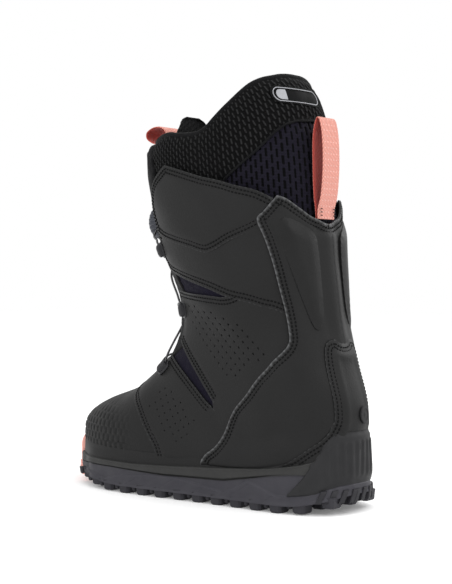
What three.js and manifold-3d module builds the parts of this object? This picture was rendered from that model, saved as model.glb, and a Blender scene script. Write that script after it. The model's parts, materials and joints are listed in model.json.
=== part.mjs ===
// A left snowboard boot with a dial lace, built as shell panels, lining, liner, tongue and sole.
// +X is the outer side of the foot, the toe points to -Y, +Z is up and the lugs rest on z = 0.
import * as THREE from "three";
import { mergeVertices } from "three/addons/utils/BufferGeometryUtils.js";
import Module from "manifold-3d";

const wasm = await Module();
wasm.setup();
const { Manifold, Mesh } = wasm;

// Overall sizes, in millimetres.
const SOLE_LENGTH = 266;
const BALL_WIDTH = 99;
const BOOT_HEIGHT = 305;
const SOLE_HEIGHT = 26;

// Walls and clearances.
const SHELL_WALL = 2.5;
const LINING_WALL = 2;
const LINER_WALL = 5;
const INSERT_WALL = 3;
const LAYER_GAP = 0.4;
const SEAM_GAP = 0.4;

// Sole.
const LUG_DEPTH = 5;
const LUG_PITCH = 17;
const LUG_LENGTH = 10;
const OUTSOLE_TOP = 14.7;
const TOE_SPRING = 16;
const HEEL_SPRING = 8;
const TOE_PIECE_START = 240;
const RAND_WALL = 1.9;

// Closure.
const LACE_DIAMETER = 1.6;
const LACE_CLEARANCE = 0.6;
const GUIDE_HEIGHT = 5.4;
const DIAL_RADIUS = 13.4;
const DIAL_TRAVEL = 2.5;
const SPOOL_RADIUS = 9;
const SCREW_RADIUS = 1.7;

// Webbing loops.
const WEBBING_WIDTH = 20;
const WEBBING_THICK = 1.2;

// The shape is drawn on a reference last and scaled to the sizes above. On the last, f is the distance
// forward of the heel, z the height and x the distance to the outer side.
const LAST = { length: 266, width: 99, height: 305, sole: 26 };
const HALF_TURN = Math.PI;
const DEGREE = Math.PI / 180;

function at(x, f, z) {
  const above = Math.max(z - LAST.sole, 0);
  const upper = (BOOT_HEIGHT - SOLE_HEIGHT) / (LAST.height - LAST.sole);
  const lower = SOLE_HEIGHT / LAST.sole;
  return new THREE.Vector3(
    (x * BALL_WIDTH) / LAST.width,
    SOLE_LENGTH / 2 - (f * SOLE_LENGTH) / LAST.length,
    Math.min(z, LAST.sole) * lower + above * upper,
  );
}

// Rise of the sole's underside at the toe and heel.
function spring(f) {
  const toe = Math.max(f - 180, 0) / 90;
  const heel = Math.max(40 - f, 0) / 40;
  return toe * toe * TOE_SPRING + heel * heel * HEEL_SPRING;
}

// Cross-sections of the upper, from the toe tip, back over the heel and up the leg. Each one joins a
// point on the underside or back to a point on the top or front.
const SECTIONS = [
  // back f, back z, front f, front z, outer half, inner half, belly, back power, front power, centre x
  [262.5, 38, 262.8, 42, 3, 3, 0.5, 2, 2, -21],
  [261, 35, 261, 48, 13, 12, 0.5, 2.1, 2.1, -21],
  [256.5, 33, 256, 55, 23, 22, 0.42, 2.4, 2.1, -20],
  [247, 31.2, 245, 61, 33, 30, 0.38, 2.8, 2.1, -18],
  [231, 29.4, 229, 67, 41, 37, 0.34, 3.2, 2.1, -15],
  [211, 27.7, 211, 72, 46, 42, 0.32, 3.4, 2.1, -11],
  [188, 26.8, 193, 78, 47, 44, 0.3, 3.4, 2.1, -7],
  [160, 26.6, 176, 88, 45, 42, 0.28, 3.4, 2.1, -3],
  [124, 26.6, 161, 103, 41, 39, 0.28, 3.4, 2.1, -1],
  [80, 26.6, 152, 121, 39, 38, 0.32, 3, 2.1, 0],
  [38, 27.4, 150, 138, 39, 39, 0.38, 2.6, 2.1, 0],
  [9, 40, 153, 152, 40, 40, 0.42, 2.2, 2.1, 0],
  [3, 68, 159, 165, 41, 40, 0.45, 2.1, 2.1, 0],
  [12, 100, 165, 178, 44, 43, 0.47, 2.1, 2.1, 0],
  [20, 130, 169, 192, 47, 46, 0.48, 2.1, 2.2, 0],
  [25, 165, 171, 209, 51, 50, 0.48, 2.1, 2.3, 0],
  [28, 200, 172, 228, 55, 54, 0.48, 2.1, 2.4, 0],
  [30, 232, 172, 248, 57, 56, 0.48, 2.1, 2.4, 0],
  [34, 262, 172, 268, 57, 56, 0.48, 2.1, 2.4, 0],
  [42, 285, 172, 290, 56, 55, 0.48, 2.1, 2.4, 0],
  [53, 308, 171, 310, 54, 53, 0.48, 2.1, 2.4, 0],
];
const SECTION_ROWS = [
  0, 0.6, 1.3, 2, 3, 4, 5, 6, 7, 8, 8.7, 9.3, 9.8, 10.3, 10.7, 11.2, 12, 13, 14, 15, 16, 17, 18, 19, 20,
];
const RING_POINTS = 20;

function catmull(table, t) {
  const last = table.length - 1;
  const i = Math.min(Math.max(Math.floor(t), 0), last - 1);
  const u = t - i;
  const pick = (k) => table[Math.min(Math.max(k, 0), last)];
  const [a, b, c, d] = [pick(i - 1), pick(i), pick(i + 1), pick(i + 2)];
  return b.map((value, k) => {
    const linear = c[k] - a[k];
    const square = 2 * a[k] - 5 * value + 4 * c[k] - d[k];
    const cube = 3 * value - a[k] - 3 * c[k] + d[k];
    return 0.5 * (2 * value + linear * u + square * u * u + cube * u * u * u);
  });
}

// A point of the upper: v counts the sections, the angle runs from the underside or back (0) over the
// outer side (a quarter turn) to the top or front (a half turn), and offset is outward.
function skin(v, angle, offset = 0) {
  const [backF, backZ, frontF, frontZ, outer, inner, belly, backPower, frontPower, centre] =
    catmull(SECTIONS, v);
  const depth = Math.hypot(frontF - backF, frontZ - backZ);
  const isFront = Math.cos(angle) < 0;
  const isOuter = Math.sin(angle) >= 0;
  const power = 2 / (isFront ? frontPower : backPower);
  const along = Math.abs(Math.cos(angle)) ** power;
  const across = Math.abs(Math.sin(angle)) ** power;
  const share = isFront ? belly + (1 - belly) * along : belly * (1 - along);
  const reach = share * (1 + (2 * offset) / depth) - offset / depth;
  const half = isOuter ? outer + offset : -inner - offset;
  return at(
    centre + half * across,
    backF + (frontF - backF) * reach,
    backZ + (frontZ - backZ) * reach,
  );
}

// The section where a layer of this offset closes at the toe.
function toeStart(offset) {
  const target = SECTIONS[0][0] + offset;
  let low = 0;
  let high = 4;
  for (let k = 0; k < 30; k++) {
    const middle = (low + high) / 2;
    const section = catmull(SECTIONS, middle);
    if ((section[0] + section[2]) / 2 > target) low = middle;
    else high = middle;
  }
  return low;
}

// Solids. Each mesh is turned to face outward.
function solid(points, triangles) {
  const geometry = new THREE.BufferGeometry().setFromPoints(points);
  geometry.setIndex(triangles);
  return solidOf(geometry);
}

function solidOf(geometry) {
  const bare = geometry.clone();
  bare.deleteAttribute("normal");
  bare.deleteAttribute("uv");
  const merged = mergeVertices(bare, 1e-4);
  const triVerts = new Uint32Array(merged.index.array);
  const vertProperties = merged.attributes.position.array;
  const made = new Manifold(new Mesh({ numProp: 3, vertProperties, triVerts }));
  if (made.volume() > 0) return made;
  for (let i = 0; i < triVerts.length; i += 3) {
    [triVerts[i + 1], triVerts[i + 2]] = [triVerts[i + 2], triVerts[i + 1]];
  }
  return new Manifold(new Mesh({ numProp: 3, vertProperties, triVerts }));
}

// Joins rings of equal length into a closed body with a fan on each end. From the row where a sock turns
// back inside itself, the squares are cut along the other diagonal, so that layers stay parallel.
function loft(rings, turnRow = rings.length) {
  const count = rings[0].length;
  const points = rings.flat();
  const triangles = [];
  rings.slice(1).forEach((_, r) => {
    for (let k = 0; k < count; k++) {
      const a = r * count + k;
      const b = r * count + ((k + 1) % count);
      if (r < turnRow) triangles.push(a, b, a + count, b, b + count, a + count);
      else triangles.push(a, b, b + count, a, b + count, a + count);
    }
  });
  [rings[0], rings.at(-1)].forEach((ring, end) => {
    const hub = points.length;
    const first = end ? (rings.length - 1) * count : 0;
    const sum = ring.reduce((total, p) => total.add(p), new THREE.Vector3());
    points.push(sum.divideScalar(count));
    for (let k = 0; k < count; k++) {
      const a = first + k;
      const b = first + ((k + 1) % count);
      triangles.push(...(end ? [a, b, hub] : [b, a, hub]));
    }
  });
  return solid(points, triangles);
}

// Closes two grids of points, one above the other, into a sheet.
function sheet(top, bottom) {
  const rows = top.length;
  const columns = top[0].length;
  const points = [...top.flat(), ...bottom.flat()];
  const under = rows * columns;
  const triangles = [];
  const quad = (a, b, c, d) => triangles.push(a, b, c, a, c, d);
  for (let r = 0; r < rows - 1; r++) {
    for (let c = 0; c < columns - 1; c++) {
      const a = r * columns + c;
      quad(a, a + 1, a + columns + 1, a + columns);
      quad(under + a, under + a + columns, under + a + columns + 1, under + a + 1);
    }
  }
  for (let c = 0; c < columns - 1; c++) {
    const end = (rows - 1) * columns + c;
    quad(c, under + c, under + c + 1, c + 1);
    quad(end, end + 1, under + end + 1, under + end);
  }
  for (let r = 0; r < rows - 1; r++) {
    const left = r * columns;
    const right = left + columns - 1;
    quad(left, left + columns, under + left + columns, under + left);
    quad(right, under + right, under + right + columns, right + columns);
  }
  return solid(points, triangles);
}

// A sock-shaped layer between two offsets, closed at the toe and open at the top.
function sock(outer, inner) {
  const ring = (v, offset) =>
    Array.from({ length: RING_POINTS }, (_, k) =>
      skin(v, (k / RING_POINTS) * 2 * HALF_TURN, offset),
    );
  const rows = (start) => [start, ...SECTION_ROWS.filter((v) => v > start + 0.25)];
  const outside = rows(toeStart(outer)).map((v) => ring(v, outer));
  const inside = rows(toeStart(inner)).map((v) => ring(v, inner));
  return loft([...outside, ...inside.reverse()], outside.length);
}

// Moves a closed outline inward by a distance, or outward by a negative one.
function inset(points, distance) {
  const outline = points.filter((p, i) => p.distanceTo(points[(i + 1) % points.length]) > 0.01);
  const clockwise = THREE.ShapeUtils.isClockWise(outline);
  const sign = clockwise ? -1 : 1;
  return outline.map((point, i) => {
    const before = outline[(i + outline.length - 1) % outline.length];
    const after = outline[(i + 1) % outline.length];
    const a = point.clone().sub(before).normalize();
    const b = after.clone().sub(point).normalize();
    const normal = new THREE.Vector2(-a.y - b.y, a.x + b.x).normalize();
    const stretch = Math.max(normal.dot(new THREE.Vector2(-a.y, a.x)), 0.3);
    return point.clone().addScaledVector(normal, (sign * distance) / stretch);
  });
}

const BOTH = [-120, 120];
const OUTER_SIDE = [SEAM_GAP / 2, 120];
const INNER_SIDE = [-120, -SEAM_GAP / 2];

// A prism across the boot from a side view in f and z, drawn in by half the seam gap.
function across(outline, [from, to] = BOTH, gap = SEAM_GAP / 2) {
  const side = outline.map(([f, z]) => at(0, f, z)).map((p) => new THREE.Vector2(p.y, p.z));
  const shape = new THREE.Shape(inset(side, gap));
  const geometry = new THREE.ExtrudeGeometry(shape, { depth: to - from, bevelEnabled: false });
  const turn = new THREE.Matrix4().set(0, 0, 1, from, 1, 0, 0, 0, 0, 1, 0, 0, 0, 0, 0, 1);
  return solidOf(geometry.applyMatrix4(turn));
}

// A prism along the boot from a mirrored front view in x and z, between two distances f.
function along(half, fromF, toF, gap) {
  const mirrored = half.filter(([x]) => x > 0).map(([x, z]) => [-x, z]).reverse();
  const front = [...half, ...mirrored]
    .map(([x, z]) => at(x, 0, z))
    .map((p) => new THREE.Vector2(p.x, p.z));
  const shape = new THREE.Shape(inset(front, gap));
  const start = at(0, fromF, 0).y;
  const geometry = new THREE.ExtrudeGeometry(shape, {
    depth: start - at(0, toF, 0).y,
    bevelEnabled: false,
  });
  const turn = new THREE.Matrix4().set(1, 0, 0, 0, 0, 0, -1, start, 0, 1, 0, 0, 0, 0, 0, 1);
  return solidOf(geometry.applyMatrix4(turn));
}

// Seams, as side views in f and z. The flex lines meet at the pivot of the cuff.
const PIVOT = [72, 143];
const FLEX_UPPER = [[210, 183.3], PIVOT];
const FLEX_LOWER = [[210, 152.7], PIVOT];
const FLEX_REAR = [PIVOT, [38, 134], [-30, 122]];
const CUFF_TOP = [
  [210, 222], [146, 226], [139, 231], [129, 238], [112, 235], [100, 230], [85, 226], [68, 221],
  [54, 218], [45, 215],
];
const BACK_TOP = [[45, 215], [39, 211], [35, 205], [32, 198.3], [27, 198], [-30, 198]];
const FLAP_MIDDLE = [[210, 187], [140, 187], [118, 180], [97, 176], [80, 181], [66, 188], [52, 197]];
const BACKSTAY_UPPER = [[45, 215], [48, 209], [54, 199], [52, 197], [49, 185], [45, 169], [41, 151], [38, 134]];
const BACKSTAY_LOWER = [[38, 134], [36, 123], [38, 114], [47, 100], [63, 82], [81, 61], [99, 38], [107, 32], [113, 25], [116, 5]];
const SLIT_FRONT = [[210, 114], [165, 112], [148, 102], [124, 86], [99, 71]];
const SLIT_REAR = [[98, 73], [118, 92], [139, 113], [170, 126], [210, 130]];
const TOE_SEAM = [[150, 5], [151, 31], [155, 41], [162, 51], [171, 61], [182, 71], [190, 80], [194, 120]];
const HEEL_STAY = [
  [-30, 118], [18, 118], [17, 114], [15, 108], [13, 90], [13, 74], [14, 64], [17, 57], [23, 45],
  [41, 33], [52, 28], [56, 5],
];
const LINER_SEAM = [[92, 190], [92, 212], [79, 226], [68, 235], [56, 248], [49, 259], [42, 266], [-30, 268]];
const LINER_TOP = [
  [210, 250], [160, 250], [153, 258], [135, 261], [121, 260], [106, 259], [92, 262], [86, 267],
  [77, 276], [70, 287], [66, 296], [62, 303], [58, 305], [-30, 305],
];
const LINER_SPLIT = 190;

// Front views, as half outlines in x and z.
const THROAT = [[0, 93], [10, 94], [18, 100], [22, 112], [25, 150], [27, 165], [31, 195], [38, 226], [46, 270], [0, 271]];
const TONGUE = [
  [0, 86], [16, 88], [26, 96], [30, 112], [33, 150], [35, 165], [39, 195], [46, 226], [47, 238],
  [43, 249], [30, 256], [0, 258],
];
const LINER_NOTCH = [[0, 165], [4, 168], [7, 320], [0, 321]];
const LINER_TONGUE = [[0, 100], [24, 112], [28, 165], [34, 225], [34, 250], [22, 262], [0, 265]];

const LINING_OUT = -SHELL_WALL - LAYER_GAP;
const LINING_IN = LINING_OUT - LINING_WALL;
const LINER_OUT = LINING_IN - LAYER_GAP;
const LINER_IN = LINER_OUT - LINER_WALL;
const INSERT_OUT = LINER_IN - LAYER_GAP;
const shellSock = sock(0, -SHELL_WALL);
const liningSock = sock(LINING_OUT, LINING_IN);
const linerSock = sock(LINER_OUT, LINER_IN);
const insertSock = sock(INSERT_OUT, INSERT_OUT - INSERT_WALL);

const boot = new THREE.Group();
boot.name = "snowboard_boot";

const LEATHER = { color: 0x2b2b2b, roughness: 0.55, metalness: 0 };
const KNIT = { color: 0x18181a, roughness: 0.9, metalness: 0 };
const NAVY = { color: 0x1b1a26, roughness: 0.85, metalness: 0 };
const RUBBER = { color: 0x3a3b39, roughness: 0.7, metalness: 0 };
const FOAM = { color: 0x45444c, roughness: 0.75, metalness: 0 };
const PINK = { color: 0xe8a096, roughness: 0.7, metalness: 0 };
const PLASTIC = { color: 0x222224, roughness: 0.4, metalness: 0 };
const BOARD = { color: 0x8a8378, roughness: 0.9, metalness: 0 };
const STEEL = { color: 0x9a9ca0, roughness: 0.35, metalness: 1 };

function add(name, made, look) {
  const { vertProperties, triVerts } = made.getMesh();
  const geometry = new THREE.BufferGeometry();
  geometry.setAttribute("position", new THREE.BufferAttribute(vertProperties, 3));
  geometry.setIndex(new THREE.BufferAttribute(triVerts, 1));
  const mesh = new THREE.Mesh(geometry, new THREE.MeshStandardMaterial(look));
  mesh.name = name;
  boot.add(mesh);
}

function addPair(name, make, look) {
  add(name + "_lateral", make(OUTER_SIDE, 1), look);
  add(name + "_medial", make(INNER_SIDE, -1), look);
}

const backward = (points) => [...points].reverse();

function makeShell() {
  const walls = shellSock.subtract(along(THROAT, 95, 240, 0));
  const piece = (outline, side) => walls.intersect(across(outline, side));
  const toeCap = [...TOE_SEAM, [280, 120], [280, 5]];
  const vamp = [...TOE_SEAM, ...SLIT_FRONT.slice(1), [81, 61], ...BACKSTAY_LOWER.slice(6)];
  const ankle = [...BACKSTAY_LOWER.slice(0, 6), ...SLIT_REAR, ...FLEX_LOWER];
  const quarter = [...BACKSTAY_LOWER, ...backward(HEEL_STAY), FLEX_REAR[2]];
  const lowerFlap = [...FLEX_UPPER, ...backward(BACKSTAY_UPPER).slice(0, 5), ...backward(FLAP_MIDDLE)];
  const upperFlap = [...CUFF_TOP, ...BACKSTAY_UPPER.slice(1, 3), ...backward(FLAP_MIDDLE)];
  const backstay = [...BACKSTAY_UPPER, FLEX_REAR[2], ...backward(BACK_TOP).slice(0, 5)];
  add("toe_cap", piece(toeCap, BOTH), LEATHER);
  add("vamp", piece(vamp, BOTH), LEATHER);
  add("heel_stay", piece([...HEEL_STAY, [-30, 5]], BOTH), LEATHER);
  addPair("ankle_panel", (side) => piece(ankle, side), LEATHER);
  addPair("quarter", (side) => piece(quarter, side), LEATHER);
  addPair("cuff_flap_lower", (side) => piece(lowerFlap, side), LEATHER);
  addPair("cuff_flap_upper", (side) => piece(upperFlap, side), LEATHER);
  addPair("backstay", (side) => piece(backstay, side), LEATHER);
}

function makeLining() {
  const tongue = along(TONGUE, 95, 240, SEAM_GAP / 2);
  const hole = along(TONGUE, 95, 240, -SEAM_GAP / 2);
  const walls = liningSock.subtract(hole);
  const belowFlex = [...FLEX_LOWER, ...FLEX_REAR.slice(1), [-30, 5], [210, 5]];
  const aboveFlex = [...FLEX_UPPER, ...FLEX_REAR.slice(1), [-30, 290], [210, 290]];
  const counter = [[-30, 36], [60, 36], [78, 60], [60, 90], [40, 104], [-30, 104]];
  const lining = [
    ...FLEX_LOWER, ...FLEX_REAR.slice(1), ...backward(counter).slice(0, 5), [200, 36], [200, 120],
  ];
  const cuff = [...FLEX_UPPER, ...FLEX_REAR.slice(1), ...backward(BACK_TOP).slice(0, 5), ...backward(CUFF_TOP)];
  add("lasting_board", liningSock.intersect(across([[-30, 5], [-30, 36], [200, 36], [200, 5]])), BOARD);
  add("toe_puff", liningSock.intersect(across([[200, 5], [200, 120], [280, 120], [280, 5]])), BOARD);
  add("heel_counter", walls.intersect(across(counter)), BOARD);
  add("shell_lining", walls.intersect(across(lining)), NAVY);
  add("cuff_lining", walls.intersect(across(cuff)), NAVY);
  add("flex_gaiter", liningSock.intersect(across([...FLEX_UPPER, ...backward(FLEX_LOWER).slice(1)])), NAVY);
  add("tongue_base", liningSock.intersect(tongue).intersect(across(belowFlex)), NAVY);
  add("tongue", liningSock.intersect(tongue).intersect(across(aboveFlex)), NAVY);
}

function makeLiner() {
  const notch = along(LINER_NOTCH, 95, 240, 0);
  const piece = (outline) => linerSock.subtract(notch).intersect(across(outline));
  const front = [[210, LINER_SPLIT], [92, LINER_SPLIT]];
  const collar = [...front, ...LINER_SEAM.slice(1), ...backward(LINER_TOP)];
  const mesh = [...LINER_SEAM, [-30, LINER_SPLIT]];
  const cuff = [...FLEX_UPPER, ...FLEX_REAR.slice(1), [-30, LINER_SPLIT], [210, LINER_SPLIT]];
  const foot = [...FLEX_LOWER, ...FLEX_REAR.slice(1), [-30, 5], [280, 5], [280, 150]];
  const aboveFlex = [...FLEX_UPPER, [72, 290], [210, 290]];
  add("liner_foot", piece(foot), KNIT);
  add("liner_cuff", piece(cuff), KNIT);
  add("liner_mesh_panel", piece(mesh), NAVY);
  add("liner_collar", piece(collar), KNIT);
  const tongue = along(LINER_TONGUE, 95, 240, 0);
  add("liner_tongue", insertSock.intersect(tongue).intersect(across(aboveFlex)), KNIT);
  add("footbed", insertSock.intersect(across([[-30, 5], [-30, 44], [225, 44], [225, 5]])), BOARD);
}

// A patch of the upper between two offsets. Each row is a section and two angles in degrees.
function patch(rows, columns, low, high) {
  const grid = (offset) =>
    rows.map(([v, from, to]) =>
      Array.from({ length: columns + 1 }, (_, k) =>
        skin(v, (from + ((to - from) * k) / columns) * DEGREE, offset),
      ),
    );
  return sheet(grid(high), grid(low));
}

const PROUD = 0.7;

// A frame on the surface: X across, Y up along the sections and Z outward.
function surfaceFrame(v, angle, offset) {
  const seat = skin(v, angle, offset);
  const outward = skin(v, angle, 1).sub(skin(v, angle, 0));
  const climb = skin(v + 0.05, angle).sub(skin(v - 0.05, angle)).normalize();
  const across = new THREE.Vector3().crossVectors(climb, outward).normalize();
  const normal = new THREE.Vector3().crossVectors(across, climb);
  return new THREE.Matrix4().makeBasis(across, climb, normal).setPosition(seat);
}

function makeHeel() {
  const pad = [[13.75, 20, 25], [14.1, 14, 28], [14.6, 12.5, 33], [15.2, 12, 37.5], [15.7, 13, 40], [15.88, 28, 39]];
  const wrap = [[10.3, -23, 23], [10.5, -24, 24], [10.8, -24, 24], [11.1, -24, 24], [11.4, -20, 20]];
  const mirror = (rows, sign) => rows.map(([v, from, to]) => [v, sign * from, sign * to]);
  addPair("backstay_pad", (_, sign) => patch(mirror(pad, sign), 4, PROUD, PROUD + 1.8), LEATHER);
  add("heel_wrap", patch(wrap, 8, PROUD, PROUD + 2), RUBBER);
  const badge = new THREE.CylinderGeometry(5.6, 5.6, 1.2, 20).rotateX(HALF_TURN / 2).translate(0, 0, 0.6);
  add("heel_badge", solidOf(badge.applyMatrix4(surfaceFrame(11.9, 0, 1.1))), RUBBER);
  const label = [[18.66, -22, 22], [18.8, -25, 25], [19.02, -25, 25], [19.16, -22, 22]];
  add("liner_label", patch(label, 8, LINER_OUT + PROUD, LINER_OUT + PROUD + 1), PLASTIC);
}

// Half widths of the sole's plan: f, outer, inner.
const SOLE_PLAN = [
  [0, 9, 9], [4, 19, 19], [15, 32, 32], [40, 39, 38], [80, 40, 37], [120, 41, 38], [152, 43, 43],
  [190, 43, 51], [218, 38, 56], [239, 28, 55], [254, 14, 49], [262, 1, 42], [266, -13, 31],
];

function soleEdge(f, side) {
  const i = Math.max(SOLE_PLAN.findIndex((row) => row[0] >= f), 1);
  const [low, high] = [SOLE_PLAN[i - 1], SOLE_PLAN[i]];
  const t = i - 1 + (f - low[0]) / (high[0] - low[0]);
  const [, outer, inner] = catmull(SOLE_PLAN, t);
  return side > 0 ? outer : -inner;
}

// The middle of the toe's round outline, which the toe's inner walls are drawn in towards.
const TOE_HUB = [-22, 215];

// A point of the sole's plan, in x and f, drawn in towards the toe's middle by a distance.
function toePlace(f, side, distance) {
  const x = soleEdge(f, side);
  const reach = Math.hypot(x - TOE_HUB[0], f - TOE_HUB[1]);
  const keep = 1 - distance / reach;
  return [TOE_HUB[0] + (x - TOE_HUB[0]) * keep, TOE_HUB[1] + (f - TOE_HUB[1]) * keep];
}

// A slab of the sole between two heights, over stations f.
function soleSlab(stations, top, bottom, place = (f, side) => [soleEdge(f, side), f]) {
  const grid = (height) =>
    stations.map((station) =>
      [1, -1].map((side) => {
        const [x, f] = place(station, side);
        return at(x, f, height(f));
      }),
    );
  return sheet(grid(top), grid(bottom));
}

// A tapered lug whose root is sunk in the outsole.
function lug(x, f, width) {
  const foot = spring(f);
  const root = foot + LUG_DEPTH + 2.5;
  const half = LUG_LENGTH / 2;
  const ring = (w, l, z) => [at(x - w, f - l, z), at(x + w, f - l, z), at(x + w, f + l, z), at(x - w, f + l, z)];
  return loft([ring(width / 2 - 1, half - 1, foot), ring(width / 2, half, root)]);
}

function lugRow(f) {
  const outer = soleEdge(f, 1);
  const inner = soleEdge(f, -1);
  const middle = (outer + inner) / 2;
  const span = outer - inner;
  const edge = Math.min(13, span * 0.3);
  const lugs = [lug(outer - edge / 2 + 0.6, f, edge), lug(inner + edge / 2 - 0.6, f, edge)];
  if (span < 60) return [...lugs, lug(middle, f, span * 0.2)];
  return [...lugs, lug(middle - span * 0.12, f, span * 0.16), lug(middle + span * 0.12, f, span * 0.16)];
}

function makeSole() {
  const underside = (f) => LUG_DEPTH + spring(f);
  const outsoleTop = (f) => OUTSOLE_TOP + 0.8 * spring(f);
  const midsoleTop = (f) => LAST.sole + 0.5 * spring(f);
  const midsoleBottom = (f) => outsoleTop(f) + SEAM_GAP;
  const behindRand = (f, side) => {
    const draw = THREE.MathUtils.smoothstep(f, 222, 240) * (RAND_WALL + LAYER_GAP);
    return toePlace(f, side, draw);
  };
  const rearStations = [0, 4, 9, 15, 26, 40, 60, 80, 120, 152, 175, 190, 205, 218, 229, TOE_PIECE_START - 0.4];
  const toeStations = [TOE_PIECE_START, 247, 254, 258, 262, 266];
  const midStations = [...rearStations, ...toeStations.slice(1)];
  const rows = Math.floor((TOE_PIECE_START - 16) / LUG_PITCH);
  const rearLugs = Array.from({ length: rows + 1 }, (_, k) => lugRow(9 + k * LUG_PITCH)).flat();
  const toeLugs = [TOE_PIECE_START + 6, 258].flatMap(lugRow);
  const outsole = soleSlab(rearStations, outsoleTop, underside);
  add("outsole", Manifold.union([outsole, ...rearLugs]), RUBBER);
  const toe = soleSlab(toeStations, outsoleTop, underside);
  add("outsole_toe", Manifold.union([toe, ...toeLugs, toeRand(outsoleTop)]), PINK);
  const shankEdge = (half) => (f, side) => [side * half, f];
  const shankSlot = soleSlab([70, 160], () => 40, () => LAST.sole - 2.4, shankEdge(14));
  const midsole = soleSlab(midStations, midsoleTop, midsoleBottom, behindRand);
  add("midsole", midsole.subtract(shankSlot), FOAM);
  const shankTop = () => LAST.sole - 0.3;
  const shankBottom = () => LAST.sole - 2;
  add("shank", soleSlab([71, 159], shankTop, shankBottom, shankEdge(13)), STEEL);
}

// The rubber rand that wraps up over the toe tip.
function toeRand(outsoleTop) {
  const edge = [[256, 1], [262, 1], [266, 1], [266, -1], [262, -1], [254, -1], [246, -1], [241, -1]];
  const heights = [31, 37, 43, 45, 43, 38, 33, 30];
  const point = ([f, side], z, drawIn) => {
    const [x, placed] = toePlace(f, side, drawIn);
    return at(x, placed, z);
  };
  const wall = (drawIn) => [
    edge.map((place, k) => point(place, heights[k], drawIn)),
    edge.map((place) => point(place, outsoleTop(place[0]) - 2, drawIn)),
  ];
  return sheet(wall(0), wall(RAND_WALL));
}

// Places of the lace guides on the outer side: section, angle and height of the seat.
const GUIDES = { flap: [13.65, 137, 0.8], ankle: [10.9, 137, 0.8], vamp: [8.1, 138, 1.3] };
const DIAL = { z: 201, back: 168.9 };

function dialPoint(x, rise, forward) {
  return at(x, DIAL.back + forward, DIAL.z + rise);
}

// The lace runs from the dial through the flap, ankle and vamp guides and back, crossing twice.
function lacePoints() {
  const spot = (v, angle, offset, sign) =>
    skin(v, (sign > 0 ? angle : 360 - angle) * DEGREE, offset);
  const turn = ([v, angle], sign, down) => {
    const way = down ? 1 : -1;
    return [
      spot(v + 0.22 * way, angle + 12, 2.8, sign),
      spot(v + 0.22 * way, angle + 6, 3, sign),
      spot(v + 0.14 * way, angle + 1.5, 3, sign),
      spot(v, angle, 3, sign),
      spot(v - 0.14 * way, angle + 1.5, 3, sign),
      spot(v - 0.22 * way, angle + 6, 3, sign),
      spot(v - 0.22 * way, angle + 12, 2.8, sign),
    ];
  };
  const cross = (from, to, sign, offset, down) => {
    const start = from[0] - (down ? 0.25 : -0.25);
    const end = to[0] + (down ? 0.25 : -0.25);
    return [160, 180, 200].map((angle, k) =>
      spot(start + ((end - start) * (k + 1)) / 4, angle, offset, sign),
    );
  };
  const { flap, ankle, vamp } = GUIDES;
  return [
    dialPoint(10.2, -3, 2.6),
    dialPoint(14, -6, 2.6),
    dialPoint(20, -11, 0.5),
    ...turn(flap, 1, true),
    ...cross(flap, ankle, 1, 1.6, true),
    ...turn(ankle, -1, true),
    ...cross(ankle, vamp, -1, 1.6, true),
    ...turn(vamp, 1, true),
    spot(vamp[0] - 0.22, 165, 2.2, 1),
    spot(vamp[0] - 0.22, 165, 2.2, -1),
    ...turn(vamp, -1, false),
    ...cross(vamp, ankle, -1, 4.4, false),
    ...turn(ankle, 1, false),
    ...cross(ankle, flap, 1, 4.4, false),
    ...turn(flap, -1, false),
    dialPoint(-20, -11, 0.5),
    dialPoint(-14, -6, 2.6),
    dialPoint(-10.2, -3, 2.6),
  ];
}

function laceSolid(diameter, steps) {
  const path = new THREE.CatmullRomCurve3(lacePoints(), false, "centripetal");
  const section = new THREE.Shape();
  section.absarc(0, 0, diameter / 2, 0, 2 * HALF_TURN);
  const geometry = new THREE.ExtrudeGeometry(section, { steps, extrudePath: path, curveSegments: 4 });
  return solidOf(geometry);
}

function makeClosure() {
  const steps = 104;
  add("lace", laceSolid(LACE_DIAMETER, steps), PLASTIC);
  const channel = laceSolid(LACE_DIAMETER + 2 * LACE_CLEARANCE, steps);
  Object.entries(GUIDES).forEach(([name, [v, angle, seat]]) => {
    addPair("lace_guide_" + name, (_, sign) => guide(v, sign * (angle + 2), seat).subtract(channel), PLASTIC);
  });
  makeDial(channel);
}

function guide(v, angle, seat) {
  const block = new THREE.BoxGeometry(9, 12.5, GUIDE_HEIGHT).translate(0, 0, GUIDE_HEIGHT / 2);
  return solidOf(block.applyMatrix4(surfaceFrame(v, angle * DEGREE, seat)));
}

// A turned piece on the dial's axis: pairs of radius and distance forward of the dial's seat.
function turned(profile, segments = 32) {
  const outline = [...profile, profile[0]].map(([r, h]) => new THREE.Vector2(r, h));
  const geometry = new THREE.LatheGeometry(outline, segments).rotateX(HALF_TURN);
  const seat = at(0, DIAL.back, DIAL.z);
  return solidOf(geometry.translate(seat.x, seat.y, seat.z));
}

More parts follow.
